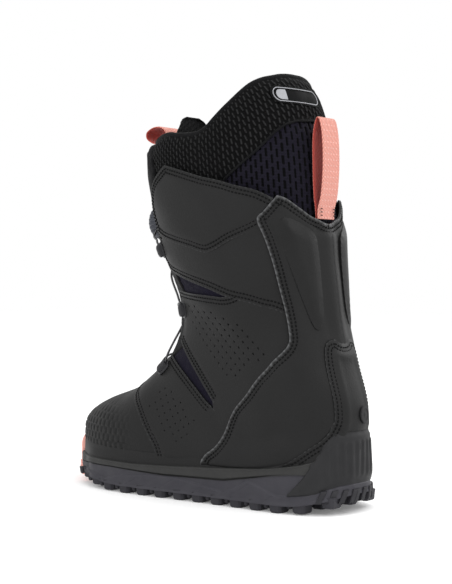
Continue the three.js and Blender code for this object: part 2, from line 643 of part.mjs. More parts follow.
function makeDial(channel) {
  const wall = 1.4;
  const floor = 1.6;
  const rim = 5;
  const bore = SCREW_RADIUS + LAYER_GAP;
  const inside = DIAL_RADIUS - 0.4 - wall;
  const knobBack = rim + LAYER_GAP;
  const knobFront = 13.4;
  const recess = 8.6;
  const head = recess + DIAL_TRAVEL + 0.5;
  const housing = [[0, 0], [DIAL_RADIUS - 0.4, 0], [DIAL_RADIUS - 0.4, rim], [inside, rim], [inside, floor], [bore, floor], [bore, 1], [0, 1]];
  const spool = [[bore, floor + 0.3], [SPOOL_RADIUS, floor + 0.3], [SPOOL_RADIUS, rim - 0.2], [bore, rim - 0.2]];
  const pawls = [[bore + 2.2, knobBack], [inside - 1, knobBack], [inside - 1, knobBack + 1], [bore + 2.2, knobBack + 1]];
  const knob = [
    [bore, knobBack + 1.4], [inside, knobBack + 1.4], [inside, knobBack], [DIAL_RADIUS, knobBack],
    [DIAL_RADIUS, knobFront - 1.5], [DIAL_RADIUS - 1.5, knobFront], [4.6, knobFront], [4.6, recess],
    [bore, recess],
  ];
  const screw = [[0, 1.3], [SCREW_RADIUS, 1.3], [SCREW_RADIUS, head], [3.8, head], [3.8, head + 1.2], [0, head + 1.2]];
  add("dial_housing", turned(housing).subtract(channel), PLASTIC);
  add("dial_spool", turned(spool, 24), STEEL);
  add("dial_pawl_ring", turned(pawls, 24), PLASTIC);
  add("dial_knob", turned(knob, 36), PLASTIC);
  add("dial_screw", turned(screw, 16), STEEL);
}

// A band of webbing as a closed loop across the boot, from its side view. Its two ends lie together in
// the first points of the outline at both ends, and the opening starts above them.
function webbingLoop(outline, ends) {
  const side = outline.map(([f, z]) => at(0, f, z)).map((p) => new THREE.Vector2(p.y, p.z));
  const shape = new THREE.Shape(side);
  const band = side.slice(ends, side.length - ends);
  shape.holes.push(new THREE.Path(inset(band, WEBBING_THICK)));
  const geometry = new THREE.ExtrudeGeometry(shape, { depth: WEBBING_WIDTH, bevelEnabled: false });
  const turn = new THREE.Matrix4();
  turn.set(0, 0, 1, -WEBBING_WIDTH / 2, 1, 0, 0, 0, 0, 1, 0, 0, 0, 0, 0, 1);
  return solidOf(geometry.applyMatrix4(turn));
}

function makeLoops() {
  const rear = [
    [28, 199], [27.9, 206], [25, 216], [23.5, 235], [24, 254], [26, 265], [28.5, 269.5],
    [31, 266], [33, 255], [33, 235], [32.2, 216], [30.5, 206], [30.4, 199],
  ];
  const front = [
    [171, 258.4], [167, 258.4], [166.5, 267.5], [171, 272.5], [180, 272.5], [187, 268.5], [186, 263],
    [179, 259.5],
  ];
  add("rear_pull_loop", webbingLoop(rear, 2), PINK);
  add("front_pull_loop", webbingLoop(front, 0), PINK);
}

makeSole();
makeShell();
makeLining();
makeLiner();
makeHeel();
makeClosure();
makeLoops();

// The origin is the middle of the footprint, at the ground.
const box = new THREE.Box3().setFromObject(boot);
boot.position.set(-(box.min.x + box.max.x) / 2, -(box.min.y + box.max.y) / 2, -box.min.z);

export default boot;
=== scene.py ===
import json
import math

import bpy
import bmesh
import numpy as np
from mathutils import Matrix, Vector, kdtree
from mathutils.geometry import delaunay_2d_cdt

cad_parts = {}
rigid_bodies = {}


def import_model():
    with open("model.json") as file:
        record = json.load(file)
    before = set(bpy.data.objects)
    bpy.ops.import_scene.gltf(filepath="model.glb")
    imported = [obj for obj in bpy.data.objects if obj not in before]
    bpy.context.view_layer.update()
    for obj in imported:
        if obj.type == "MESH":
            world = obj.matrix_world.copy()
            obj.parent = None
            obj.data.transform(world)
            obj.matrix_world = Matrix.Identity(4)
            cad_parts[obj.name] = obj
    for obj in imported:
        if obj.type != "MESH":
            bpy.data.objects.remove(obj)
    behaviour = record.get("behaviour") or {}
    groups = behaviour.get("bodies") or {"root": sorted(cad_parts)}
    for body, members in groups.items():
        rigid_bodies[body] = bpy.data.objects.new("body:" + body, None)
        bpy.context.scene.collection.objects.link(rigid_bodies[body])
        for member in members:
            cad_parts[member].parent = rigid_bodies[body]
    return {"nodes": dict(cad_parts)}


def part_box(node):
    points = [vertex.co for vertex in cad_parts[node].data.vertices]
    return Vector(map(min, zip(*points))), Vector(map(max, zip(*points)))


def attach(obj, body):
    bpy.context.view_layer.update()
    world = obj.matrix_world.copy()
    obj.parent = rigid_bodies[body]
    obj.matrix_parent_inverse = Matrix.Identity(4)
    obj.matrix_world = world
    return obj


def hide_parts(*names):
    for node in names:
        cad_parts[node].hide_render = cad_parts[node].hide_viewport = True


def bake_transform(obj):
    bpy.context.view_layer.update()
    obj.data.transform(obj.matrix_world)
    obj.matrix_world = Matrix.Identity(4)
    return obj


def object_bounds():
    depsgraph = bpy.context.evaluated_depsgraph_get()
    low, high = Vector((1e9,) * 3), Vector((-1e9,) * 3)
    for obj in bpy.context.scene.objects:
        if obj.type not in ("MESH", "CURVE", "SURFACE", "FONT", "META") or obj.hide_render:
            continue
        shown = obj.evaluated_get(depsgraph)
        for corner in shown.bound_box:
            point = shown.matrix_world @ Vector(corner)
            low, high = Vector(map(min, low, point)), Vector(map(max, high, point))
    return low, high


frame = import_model()
CAD_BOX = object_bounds()

# The upper follows the CAD last: (back f, back z, front f, front z, outer, inner, belly, back power,
# front power, centre x) per section, in millimetres, f forward of the heel.
SECTIONS = np.array([
    (262.5, 38, 262.8, 42, 3, 3, .5, 2, 2, -21),
    (261, 35, 261, 48, 13, 12, .5, 2.1, 2.1, -21),
    (256.5, 33, 256, 55, 23, 22, .42, 2.4, 2.1, -20),
    (247, 31.2, 245, 61, 33, 30, .38, 2.8, 2.1, -18),
    (231, 29.4, 229, 67, 41, 37, .34, 3.2, 2.1, -15),
    (211, 27.7, 211, 72, 46, 42, .32, 3.4, 2.1, -11),
    (188, 26.8, 193, 78, 47, 44, .3, 3.4, 2.1, -7),
    (160, 26.6, 176, 88, 45, 42, .28, 3.4, 2.1, -3),
    (124, 26.6, 161, 103, 41, 39, .28, 3.4, 2.1, -1),
    (80, 26.6, 152, 121, 39, 38, .32, 3, 2.1, 0),
    (38, 27.4, 150, 138, 39, 39, .38, 2.6, 2.1, 0),
    (9, 40, 153, 152, 40, 40, .42, 2.2, 2.1, 0),
    (3, 68, 159, 165, 41, 40, .45, 2.1, 2.1, 0),
    (12, 100, 165, 178, 44, 43, .47, 2.1, 2.1, 0),
    (20, 130, 169, 192, 47, 46, .48, 2.1, 2.2, 0),
    (25, 165, 171, 209, 51, 50, .48, 2.1, 2.3, 0),
    (28, 200, 172, 228, 55, 54, .48, 2.1, 2.4, 0),
    (30, 232, 172, 248, 57, 56, .48, 2.1, 2.4, 0),
    (34, 262, 172, 268, 57, 56, .48, 2.1, 2.4, 0),
    (42, 285, 172, 290, 56, 55, .48, 2.1, 2.4, 0),
    (53, 308, 171, 310, 54, 53, .48, 2.1, 2.4, 0),
])
MM = .001
HEEL_Y = CAD_BOX[1].y / MM
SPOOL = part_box("dial_spool")
CENTRE_X = (SPOOL[0].x + SPOOL[1].x) / 2 / MM
ROOT, CUFF = "root", "cuff"


def smooth(low, high, x):
    t = np.clip((x - low) / (high - low), 0, 1)
    return t * t * (3 - 2 * t)


def place(x, f, z):
    return np.stack([x + CENTRE_X, HEEL_Y - f, z], -1) * MM


def section(v):
    last = len(SECTIONS) - 1
    i = np.clip(np.floor(v).astype(int), 0, last - 1)
    u = (v - i)[..., None]
    a, b, c, d = (SECTIONS[np.clip(i + k, 0, last)] for k in (-1, 0, 1, 2))
    cubic = 3 * b - a - 3 * c + d
    return .5 * (2 * b + (c - a) * u + (2 * a - 5 * b + 4 * c - d) * u ** 2 + cubic * u ** 3)


def skin(v, degrees, offset=0.):
    """Points of the upper, by section, angle from the back or sole over the outer side, and offset in mm."""
    v, degrees, offset = np.broadcast_arrays(*(np.asarray(k, float) for k in (v, degrees, offset)))
    back_f, back_z, front_f, front_z, outer, inner, belly, back_power, front_power, centre = np.moveaxis(
        section(v), -1, 0)
    turn = np.radians(degrees)
    depth = np.hypot(front_f - back_f, front_z - back_z)
    front, out = np.cos(turn) < 0, np.sin(turn) >= 0
    power = 2 / np.where(front, front_power, back_power)
    along, across = np.abs(np.cos(turn)) ** power, np.abs(np.sin(turn)) ** power
    full = back_power * (1 + 1.6 * smooth(0, 2, v) * smooth(11.2, 9.5, v))
    across = np.where(front, across, np.clip(1 - along ** full, 0, 1) ** (1 / full))
    share = np.where(front, belly + (1 - belly) * along, belly * (1 - along))
    reach = share * (1 + 2 * offset / depth) - offset / depth
    half = np.where(out, outer + offset, -inner - offset)
    f = back_f + (front_f - back_f) * reach
    z = back_z + (front_z - back_z) * reach
    return place(centre + half * across, f, z)


def jacobian(v, degrees, offset=0.):
    climb = (skin(v + .01, degrees, offset) - skin(v - .01, degrees, offset)) / .02
    turn = (skin(v, degrees + .4, offset) - skin(v, degrees - .4, offset)) / .8
    return climb, turn


def unit(vectors):
    return vectors / np.maximum(np.linalg.norm(vectors, axis=-1, keepdims=True), 1e-12)


def run_along(points):
    """Distance from the first point to each point of a line."""
    return np.concatenate([[0], np.cumsum(np.linalg.norm(np.diff(points, axis=0), axis=1))])


def outward(v, degrees, offset=0.):
    climb, turn = jacobian(np.asarray(v, float), np.asarray(degrees, float), offset)
    normal = unit(np.cross(turn, climb))
    guess = skin(v, degrees, offset + 1) - skin(v, degrees, offset)
    return normal * np.sign(np.sum(normal * guess, -1, keepdims=True))


# Flat millimetre coordinates of the upper, for meshing and patterns: across on section 14, up along the side.
V_TABLE = np.linspace(0, 20, 400)
UP_TABLE = run_along(skin(V_TABLE, 80.)) / MM
DEGREE_TABLE = np.linspace(-200, 560, 1521)
AROUND_TABLE = run_along(skin(14., DEGREE_TABLE)) / MM


def flat(v, degrees):
    return np.stack([np.interp(degrees, DEGREE_TABLE, AROUND_TABLE), np.interp(v, V_TABLE, UP_TABLE)], -1)


def unflat(points):
    return np.interp(points[:, 1], UP_TABLE, V_TABLE), np.interp(points[:, 0], AROUND_TABLE, DEGREE_TABLE)


def spline(points, count=12):
    """A smooth curve through chosen points."""
    points = np.asarray(points, float)
    if len(points) < 3:
        t = np.linspace(0, 1, count * 4)[:, None]
        return points[0] * (1 - t) + points[-1] * t
    padded = np.vstack([2 * points[0] - points[1], points, 2 * points[-1] - points[-2]])
    runs = []
    for a, b, c, d in zip(padded, padded[1:], padded[2:], padded[3:]):
        u = np.linspace(0, 1, count, endpoint=False)[:, None]
        runs.append(.5 * (2 * b + (c - a) * u + (2 * a - 5 * b + 4 * c - d) * u ** 2
                          + (3 * b - a - 3 * c + d) * u ** 3))
    return np.vstack([*runs, points[-1:]])


def resample(points, positions, step):
    """Even steps along a curve given with its positions in space."""
    run = run_along(positions)
    count = max(int(round(run[-1] / step)), 2)
    wanted = np.linspace(0, run[-1], count + 1)
    return np.stack([np.interp(wanted, run, points[:, k]) for k in range(points.shape[1])], -1)


def trace(segment, step=1.6):
    line = spline(segment)
    return resample(line, skin(line[:, 0], line[:, 1]), step * MM)


def surface_step(points, vectors):
    """Section and angle changes that move points by vectors lying in the surface."""
    climb, turn = jacobian(points[:, 0], points[:, 1])
    gram = np.stack([np.sum(climb * climb, -1), np.sum(climb * turn, -1), np.sum(turn * turn, -1)])
    right = np.stack([np.sum(climb * vectors, -1), np.sum(turn * vectors, -1)])
    det = gram[0] * gram[2] - gram[1] ** 2
    dv = (right[0] * gram[2] - right[1] * gram[1]) / det
    dt = (right[1] * gram[0] - right[0] * gram[1]) / det
    return points + np.stack([dv, dt], -1)


def inward_step(border, sign, distance):
    """Moves points of a border sideways over the surface by a distance in mm."""
    v, degrees = border[:, 0], border[:, 1]
    positions = skin(v, degrees)
    tangent = unit(np.gradient(positions, axis=0))
    side = np.cross(outward(v, degrees), tangent) * sign * distance * MM
    return surface_step(border, side)


def inside(points, polygon):
    x, y = points[:, 0][:, None], points[:, 1][:, None]
    a, b = polygon, np.roll(polygon, -1, 0)
    crossing = (a[:, 1] > y) != (b[:, 1] > y)
    slope = (b[:, 0] - a[:, 0]) * (y - a[:, 1]) / np.where(b[:, 1] == a[:, 1], 1e-9, b[:, 1] - a[:, 1])
    return (np.sum(crossing & (x < a[:, 0] + slope), 1) % 2).astype(bool)


def tree_of(points):
    tree = kdtree.KDTree(len(points))
    for k, p in enumerate(points):
        tree.insert(p, k)
    tree.balance()
    return tree


def distances(points, tree):
    return np.array([tree.find(p)[2] for p in points]) / MM


# Meshes.
def mesh_piece(name, vertices, faces, material, fields=None, sharp=None):
    mesh = bpy.data.meshes.new(name)
    mesh.from_pydata([tuple(p) for p in vertices], [], [tuple(int(k) for k in f) for f in faces])
    for field, values in (fields or {}).items():
        values = np.asarray(values, np.float32)
        kind = "FLOAT" if values.ndim == 1 else "FLOAT_VECTOR"
        attribute = mesh.attributes.new(field, kind, "POINT")
        attribute.data.foreach_set("value" if values.ndim == 1 else "vector", values.ravel())
    work = bmesh.new()
    work.from_mesh(mesh)
    bmesh.ops.recalc_face_normals(work, faces=work.faces)
    for face in work.faces:
        face.smooth = True
    work.to_mesh(mesh)
    work.free()
    if sharp:
        mesh.set_sharp_from_angle(angle=math.radians(sharp))
    mesh.materials.append(material)
    piece = bpy.data.objects.new(name, mesh)
    bpy.context.scene.collection.objects.link(piece)
    return piece


class Pile:
    """Many small bodies gathered into one mesh."""

    def __init__(self):
        self.vertices, self.faces, self.fields, self.count = [], [], {}, 0

    def add(self, vertices, faces, **fields):
        self.vertices.append(np.asarray(vertices, float))
        self.faces.extend([tuple(k + self.count for k in f) for f in faces])
        self.count += len(vertices)
        for name, value in fields.items():
            self.fields.setdefault(name, []).append(np.broadcast_to(value, (len(vertices),)))

    def piece(self, name, material, sharp=None):
        fields = {k: np.concatenate(v) for k, v in self.fields.items()}
        return mesh_piece(name, np.vstack(self.vertices), self.faces, material, fields, sharp)


def grid_faces(rows, columns, closed=False, start=0):
    faces = []
    for r in range(rows - 1):
        for c in range(columns if closed else columns - 1):
            a, b = start + r * columns + c, start + r * columns + (c + 1) % columns
            faces.append((a, b, b + columns, a + columns))
    return faces


def shell_from_grids(top, bottom, closed=False, pole=False):
    """Vertices and faces of a closed body between two grids of points."""
    rows, columns = top.shape[:2]
    under = rows * columns
    vertices = np.vstack([top.reshape(-1, 3), bottom.reshape(-1, 3)])
    faces = grid_faces(rows, columns, closed)
    faces += [tuple(reversed(f)) for f in grid_faces(rows, columns, closed, under)]
    loop = [(c, (c + 1) % columns) for c in range(columns if closed else columns - 1)]
    last = (rows - 1) * columns
    faces += [(last + a, last + b, under + last + b, under + last + a) for a, b in loop]
    if pole:
        vertices = np.vstack([vertices, top[0].mean(0), bottom[0].mean(0)])
        hub = len(vertices) - 2
        faces += [(b, a, hub) for a, b in loop] + [(under + a, under + b, hub + 1) for a, b in loop]
    else:
        faces += [(b, a, under + a, under + b) for a, b in loop]
    if not closed:
        for r in range(rows - 1):
            a, b = r * columns, (r + 1) * columns
            faces.append((a, b, under + b, under + a))
            a, b = a + columns - 1, b + columns - 1
            faces.append((b, a, under + a, under + b))
    return vertices, faces


def edge_distance(points, closed, pole=False):
    """Distance in mm of each grid point to the grid's open edges."""
    up = np.linalg.norm(np.diff(points, axis=0), axis=2)
    run = np.vstack([np.zeros((1, points.shape[1])), np.cumsum(up, 0)])
    distance = run[-1] - run if pole else np.minimum(run, run[-1] - run)
    if not closed:
        side = np.linalg.norm(np.diff(points, axis=1), axis=2)
        run = np.hstack([np.zeros((points.shape[0], 1)), np.cumsum(side, 1)])
        distance = np.minimum(distance, np.minimum(run, run[:, -1:] - run))
    return distance / MM


def rounding(distance, radius):
    """How far a rounded edge drops below its surface."""
    return radius * (1 - np.sqrt(np.clip(1 - (1 - np.clip(distance / radius, 0, 1)) ** 2, 0, 1)))


def grid_piece(name, v, degrees, top, wall, material, relief, radius=.8, closed=False, pole=False):
    """A layer over a grid of the upper, with rounded rims and a relief in mm."""
    surface = skin(v, degrees, top)
    distance = edge_distance(surface, closed, pole)
    height = top - rounding(distance, radius) + relief(v, degrees, surface, distance)
    outer = skin(v, degrees, height)
    under = skin(v, degrees, np.minimum(top - wall, height - .3))
    vertices, faces = shell_from_grids(outer, under, closed, pole)
    extra = len(vertices) - 2 * distance.size
    rim = np.clip(1 - distance.ravel() / .8, 0, 1)
    place_flat = np.concatenate([flat(v.ravel(), degrees.ravel()), np.zeros((v.size, 1))], 1)
    fields = {
        "rim": np.concatenate([rim, np.zeros(rim.size + extra)]),
        "flat": np.vstack([place_flat, place_flat, np.zeros((extra, 3))]) * MM,
    }
    return mesh_piece(name, vertices, faces, material, fields)


def no_relief(v, degrees, surface, distance):
    """Every relief takes these four and gives mm outward from the surface."""
    return 0


def panel(name, segments, top, wall, material, spacing=2.6, radius=.7, relief=no_relief, dense=(), holes=(),
          light=.72, plain=()):
    """A leather panel cut to an outline on the upper, with rounded edges, relief and pressed holes."""
    border = np.vstack([trace(s)[:-1] for s in segments])
    ring = np.vstack([border[-1:], border, border[:1]])
    plan = flat(border[:, 0], border[:, 1])
    area = np.sum(plan[:, 0] * np.roll(plan[:, 1], -1) - plan[:, 1] * np.roll(plan[:, 0], -1))
    sign = 1 if area > 0 else -1
    fine_border = np.vstack([trace(s, .25) for k, s in enumerate(segments) if k not in plain])
    edge = tree_of(skin(fine_border[:, 0], fine_border[:, 1]))
    sets = []
    for distance in (.3, .8, 1.5, 2.6):
        moved = inward_step(ring, sign, distance)[1:-1]
        keep = distances(skin(moved[:, 0], moved[:, 1]), edge) > .86 * distance
        sets.append(moved[keep])
    low, high = plan.min(0), plan.max(0)
    columns = np.arange(low[0], high[0], spacing)
    rows = np.arange(low[1], high[1], spacing * .87)
    x, y = np.meshgrid(columns, rows)
    x = x + (np.arange(len(rows))[:, None] % 2) * spacing / 2
    grid = np.stack([x.ravel(), y.ravel()], -1)
    grid = grid[inside(grid, plan)]
    v, degrees = unflat(grid)
    keep = distances(skin(v, degrees), edge) > 3.4
    if len(holes):
        hole_tree = tree_of(skin(holes[:, 0], holes[:, 1]))
        keep &= distances(skin(v, degrees), hole_tree) > 1.9
    sets.append(np.stack([v, degrees], -1)[keep])
    sets.extend(dense)
    if len(holes):
        climb, _ = jacobian(holes[:, 0], holes[:, 1])
        climb = unit(climb)
        side = np.cross(outward(holes[:, 0], holes[:, 1]), climb)
        sets.append(holes)
        for reach in (.42, .7, 1.15):
            for k in range(8):
                a = 2 * math.pi * (k + reach) / 8
                sets.append(surface_step(holes, (climb * math.sin(a) + side * math.cos(a)) * reach * MM))
    others = np.vstack(sets)
    others = others[inside(flat(others[:, 0], others[:, 1]), plan)]
    points = np.vstack([plan, flat(others[:, 0], others[:, 1])])
    face = list(range(len(plan)))[::sign]
    made = delaunay_2d_cdt([Vector(p) for p in points], [], [face], 1, 1e-5, False)
    verts, _, triangles = made[:3]
    flat_points = np.array([tuple(p) for p in verts])
    middles = flat_points[np.array([list(t) for t in triangles])].mean(1)
    triangles = [t for t, within in zip(triangles, inside(middles, plan)) if within]
    v, degrees = unflat(flat_points)
    surface = skin(v, degrees, top)
    distance = distances(skin(v, degrees), edge)
    drop = rounding(distance, radius)
    # Around each pressed hole the surface dips, and the same mask paints shade into the hole.
    pit_and_shade = np.zeros(len(v))
    if len(holes):
        near = distances(skin(v, degrees), hole_tree)
        pit_and_shade = smooth(.74, .5, near)
        drop = drop + .6 * pit_and_shade
    outer = skin(v, degrees, top - drop + relief(v, degrees, surface, distance))
    under = skin(v, degrees, top - wall)
    count = len(v)
    edges = dict.fromkeys((t[k], t[(k + 1) % 3]) for t in triangles for k in range(3))
    rim_edges = [(a, b) for a, b in edges if (b, a) not in edges]
    faces = [tuple(t) for t in triangles] + [tuple(k + count for k in reversed(t)) for t in triangles]
    faces += [(b, a, a + count, b + count) for a, b in rim_edges]
    rim = np.clip(1 - distance / .42, 0, 1) * light
    place_flat = np.concatenate([flat_points, np.zeros((count, 1))], 1) * MM
    fields = {
        "rim": np.concatenate([rim, 0 * rim]),
        "pit_and_shade": np.concatenate([pit_and_shade, np.zeros(count)]),
        "flat": np.vstack([place_flat, place_flat]),
    }
    return mesh_piece(name, np.vstack([outer, under]), faces, material, fields, 50)


def mirrored(segments):
    return [[(v, 360 - d) for v, d in reversed(s)] for s in reversed(segments)]


def mirror_points(points):
    return np.stack([points[:, 0], 360 - points[:, 1]], -1)


def capsule(centre, direction, normal, length, radius, sides=6):
    side = np.cross(direction, normal)
    rings = [(-.5, .35), (-.38, .9), (.38, .9), (.5, .35)]
    vertices, faces = [], []
    for along, width in rings:
        for k in range(sides):
            a = 2 * math.pi * k / sides
            vertices.append(centre + direction * along * length
                            + (side * math.cos(a) + normal * math.sin(a)) * radius * width)
    faces += grid_faces(len(rings), sides, True)
    faces += [tuple(reversed(range(sides))), tuple(range(3 * sides, 4 * sides))]
    return vertices, faces


STITCHES = {}


def stitch(group, segment, outline, insets, top, pitch=2.6, length=1.7, radius=.56):
    """Rows of thread along a seam, each at a distance inside its panel."""
    line = trace(segment, .8)
    plan = np.vstack([trace(s)[:-1] for s in outline])
    plan = flat(plan[:, 0], plan[:, 1])
    probe = inward_step(line, 1, 1.5)[3:-3]
    sign = 1 if inside(flat(probe[:, 0], probe[:, 1]), plan).mean() > .5 else -1
    for inset in insets:
        row = inward_step(line, sign, inset)[2:-2]
        positions = skin(row[:, 0], row[:, 1], top)
        row = resample(row, positions, pitch * MM)
        positions = skin(row[:, 0], row[:, 1], top)
        directions = unit(np.gradient(positions, axis=0))
        normals = outward(row[:, 0], row[:, 1], top)
        for centre, direction, normal in zip(positions, directions, normals):
            STITCHES.setdefault(group, Pile()).add(
                *capsule(centre - normal * .25 * MM, direction, normal, length * MM, radius * MM))


def tube(points, radius, sides=10, closed_ends=True):
    """A round tube along points in space. The radius is one number, or one for each point."""
    sizes = np.broadcast_to(radius, (len(points),))
    tangents = unit(np.gradient(points, axis=0))
    normal = unit(np.cross(tangents[0], (.3, .2, .93)))
    vertices, faces = [], []
    for centre, tangent, size in zip(points, tangents, sizes):
        normal = unit(normal - tangent * np.dot(normal, tangent))
        other = np.cross(tangent, normal)
        for s in range(sides):
            a = 2 * math.pi * s / sides
            vertices.append(centre + (normal * math.cos(a) + other * math.sin(a)) * size)
    faces += grid_faces(len(points), sides, True)
    if closed_ends:
        faces += [tuple(reversed(range(sides))), tuple(range(len(vertices) - sides, len(vertices)))]
    return vertices, faces


# Materials.
class Nodes:
    """Short names for building a node material."""

    def __init__(self, name):
        self.material = bpy.data.materials.new(name)
        self.material.use_nodes = True
        self.tree = self.material.node_tree
        self.shader = self.tree.nodes["Principled BSDF"]

    def new(self, kind, **settings):
        node = self.tree.nodes.new("ShaderNode" + kind)
        for key, value in settings.items():
            setattr(node, key, value)
        return node

    def link(self, source, target):
        self.tree.links.new(source, target)

    def field(self, name, output="Fac"):
        return self.new("Attribute", attribute_name=name, attribute_type="GEOMETRY").outputs[output]

    def objects(self):
        return self.new("TexCoord").outputs["Object"]

    def math(self, operation, a, b=None, c=None, clamp=False):
        node = self.new("Math", operation=operation, use_clamp=clamp)
        for socket, value in zip(node.inputs, (a, b, c)):
            if isinstance(value, bpy.types.NodeSocket):
                self.link(value, socket)
            elif value is not None:
                socket.default_value = value
        return node.outputs[0]

    def noise(self, scale, detail=3., rough=.55, vector=None, output="Fac"):
        node = self.new("TexNoise")
        node.inputs["Scale"].default_value = scale
        node.inputs["Detail"].default_value = detail
        node.inputs["Roughness"].default_value = rough
        self.link(vector or self.objects(), node.inputs["Vector"])
        return node.outputs[output]

    def cells(self, scale, feature="F1", vector=None, output="Distance"):
        node = self.new("TexVoronoi", feature=feature)
        node.inputs["Scale"].default_value = scale
        self.link(vector or self.objects(), node.inputs["Vector"])
        return node.outputs[output]

    def split(self, vector):
        node = self.new("SeparateXYZ")
        self.link(vector, node.inputs[0])
        return node.outputs

    def wave(self, value, period, phase=0.):
        """0 to 1, over a length."""
        turned = self.math("MULTIPLY_ADD", value, 2 * math.pi / period, phase)
        return self.math("MULTIPLY_ADD", self.math("SINE", turned), .5, .5)

    def span(self, value, low, high, out_low=0., out_high=1.):
        node = self.new("MapRange", interpolation_type="SMOOTHSTEP")
        self.link(value, node.inputs[0])
        for socket, number in zip(node.inputs[1:5], (low, high, out_low, out_high)):
            socket.default_value = number
        return node.outputs[0]

    def mix(self, factor, a, b):
        node = self.new("Mix", data_type="RGBA")
        for socket, value in ((node.inputs[0], factor), (node.inputs[6], a), (node.inputs[7], b)):
            if isinstance(value, bpy.types.NodeSocket):
                self.link(value, socket)
            elif isinstance(value, tuple):
                socket.default_value = (*value, 1)
            else:
                socket.default_value = value
        return node.outputs[2]

    def colour(self, value):
        if isinstance(value, tuple):
            self.shader.inputs["Base Color"].default_value = (*value, 1)
        else:
            self.link(value, self.shader.inputs["Base Color"])

    def set(self, **values):
        for key, value in values.items():
            socket = self.shader.inputs[key.replace("_", " ").title().replace("Ior", "IOR")]
            if isinstance(value, bpy.types.NodeSocket):
                self.link(value, socket)
            else:
                socket.default_value = value

    def bump(self, height, distance, strength=1.):
        node = self.new("Bump")
        node.inputs["Strength"].default_value = strength
        node.inputs["Distance"].default_value = distance
        self.link(height, node.inputs["Height"])
        self.link(node.outputs[0], self.shader.inputs["Normal"])


def leather(name, tone=.0066, rough=.5):
    """Coated leather: fine pebbled grain, soft random tone changes, grey cut edges and painted shade in the
    pressed holes.
    """
    n = Nodes(name)
    broad = n.noise(22, 4)
    shade = n.mix(n.span(broad, .3, .75), (tone * .8,) * 3, (tone * 1.25, tone * 1.25, tone * 1.27))
    scuffs = n.span(n.noise(160, 6, .7), .66, .8)
    shade = n.mix(n.math("MULTIPLY", scuffs, .18), shade, (tone * 3.6,) * 3)
    edge = n.span(n.field("rim"), .5, 1., 0, .9)
    shade = n.mix(edge, shade, (.11, .112, .115))
    # Painted shade: the pressed holes are darkened almost to black.
    shade = n.mix(n.span(n.field("pit_and_shade"), .2, .8), shade, (.002, .002, .002))
    n.colour(shade)
    grain = n.cells(900, "SMOOTH_F1")
    wrinkle = n.noise(420, 5, .6)
    sheen = n.span(broad, .3, .7, rough - .05, rough + .07)
    n.set(roughness=n.math("ADD", sheen, n.math("MULTIPLY", grain, .08)), specular_ior_level=.2)
    height = n.math("ADD", n.math("MULTIPLY", grain, .6), n.math("MULTIPLY", wrinkle, .7))
    n.bump(height, .00022, .6)
    return n.material


def rubber(name, tone, rough=.62, pepper=.25, gloss=.32):
    """Moulded rubber: fine matte texture, faint dusting, lighter ridges and lips, and painted shade in creases,
    grooves, on lugs and on hidden faces.
    """
    n = Nodes(name)
    dust = n.span(n.noise(60, 6, .65), .5, .8)
    light = tuple(k * 1.45 + .004 for k in tone)
    shade = n.mix(n.math("MULTIPLY", dust, pepper), tone, light)
    # Lighter along the lower wall's ridge line and thin creases and along the band's lip.
    shade = n.mix(n.field("wear"), shade, light)
    # Painted shade: the sole's shade mask darkens the top of the lower wall under the band, the band's groove,
    # the lugs, the heel studs and the hidden slabs.
    shade = n.mix(n.field("crease"), shade, tuple(k * .3 for k in tone))
    n.colour(shade)
    n.set(roughness=n.span(n.noise(90, 4), .3, .7, rough - .06, rough + .1), specular_ior_level=gloss)
    n.bump(n.noise(1600, 3), .0001, .5)
    return n.material


def knit(name, tone, tip):
    """Textured knit: yarn loops over raised chevrons, with painted highlight on the high spots and darker low
    spots.
    """
    n = Nodes(name)
    x, y, _ = n.split(n.field("flat", "Vector"))
    loops = n.math("MULTIPLY", n.wave(x, .0011), n.wave(y, .0009))
    fuzz = n.noise(2600, 3)
    high = n.field("relief")
    # Painted highlight: raised spots take the lighter colour, the rest stays dark.
    shade = n.mix(n.span(high, .35, 1), tone, tip)
    shade = n.mix(n.math("MULTIPLY", loops, .35), shade, tuple(k * .45 for k in tone))
    n.colour(shade)
    n.set(roughness=n.span(fuzz, .3, .7, .72, .9), specular_ior_level=.08)
    n.set(sheen_weight=.01, sheen_roughness=.5)
    n.bump(n.math("ADD", loops, n.math("MULTIPLY", fuzz, .5)), .00025, .7)
    return n.material


def textile(name, tone, thread=.0008, sheen=.1, rough=.8):
    """Close woven stretch cloth."""
    n = Nodes(name)
    x, y, z = n.split(n.objects())
    warp = n.wave(n.math("ADD", z, n.math("MULTIPLY", y, .5)), thread)
    weft = n.wave(n.math("SUBTRACT", y, n.math("MULTIPLY", x, .6)), thread)
    weave = n.math("MAXIMUM", warp, weft)
    shade = n.mix(weave, tuple(k * .55 for k in tone), tone)
    shade = n.mix(n.span(n.noise(40, 4), .4, .8, 0, .4), shade, tuple(k * 1.6 for k in tone))
    n.colour(shade)
    n.set(roughness=n.span(n.noise(300), .3, .7, rough - .08, rough + .08), specular_ior_level=.1)
    n.set(sheen_weight=sheen, sheen_roughness=.4)
    n.bump(weave, .00018, .6)
    return n.material


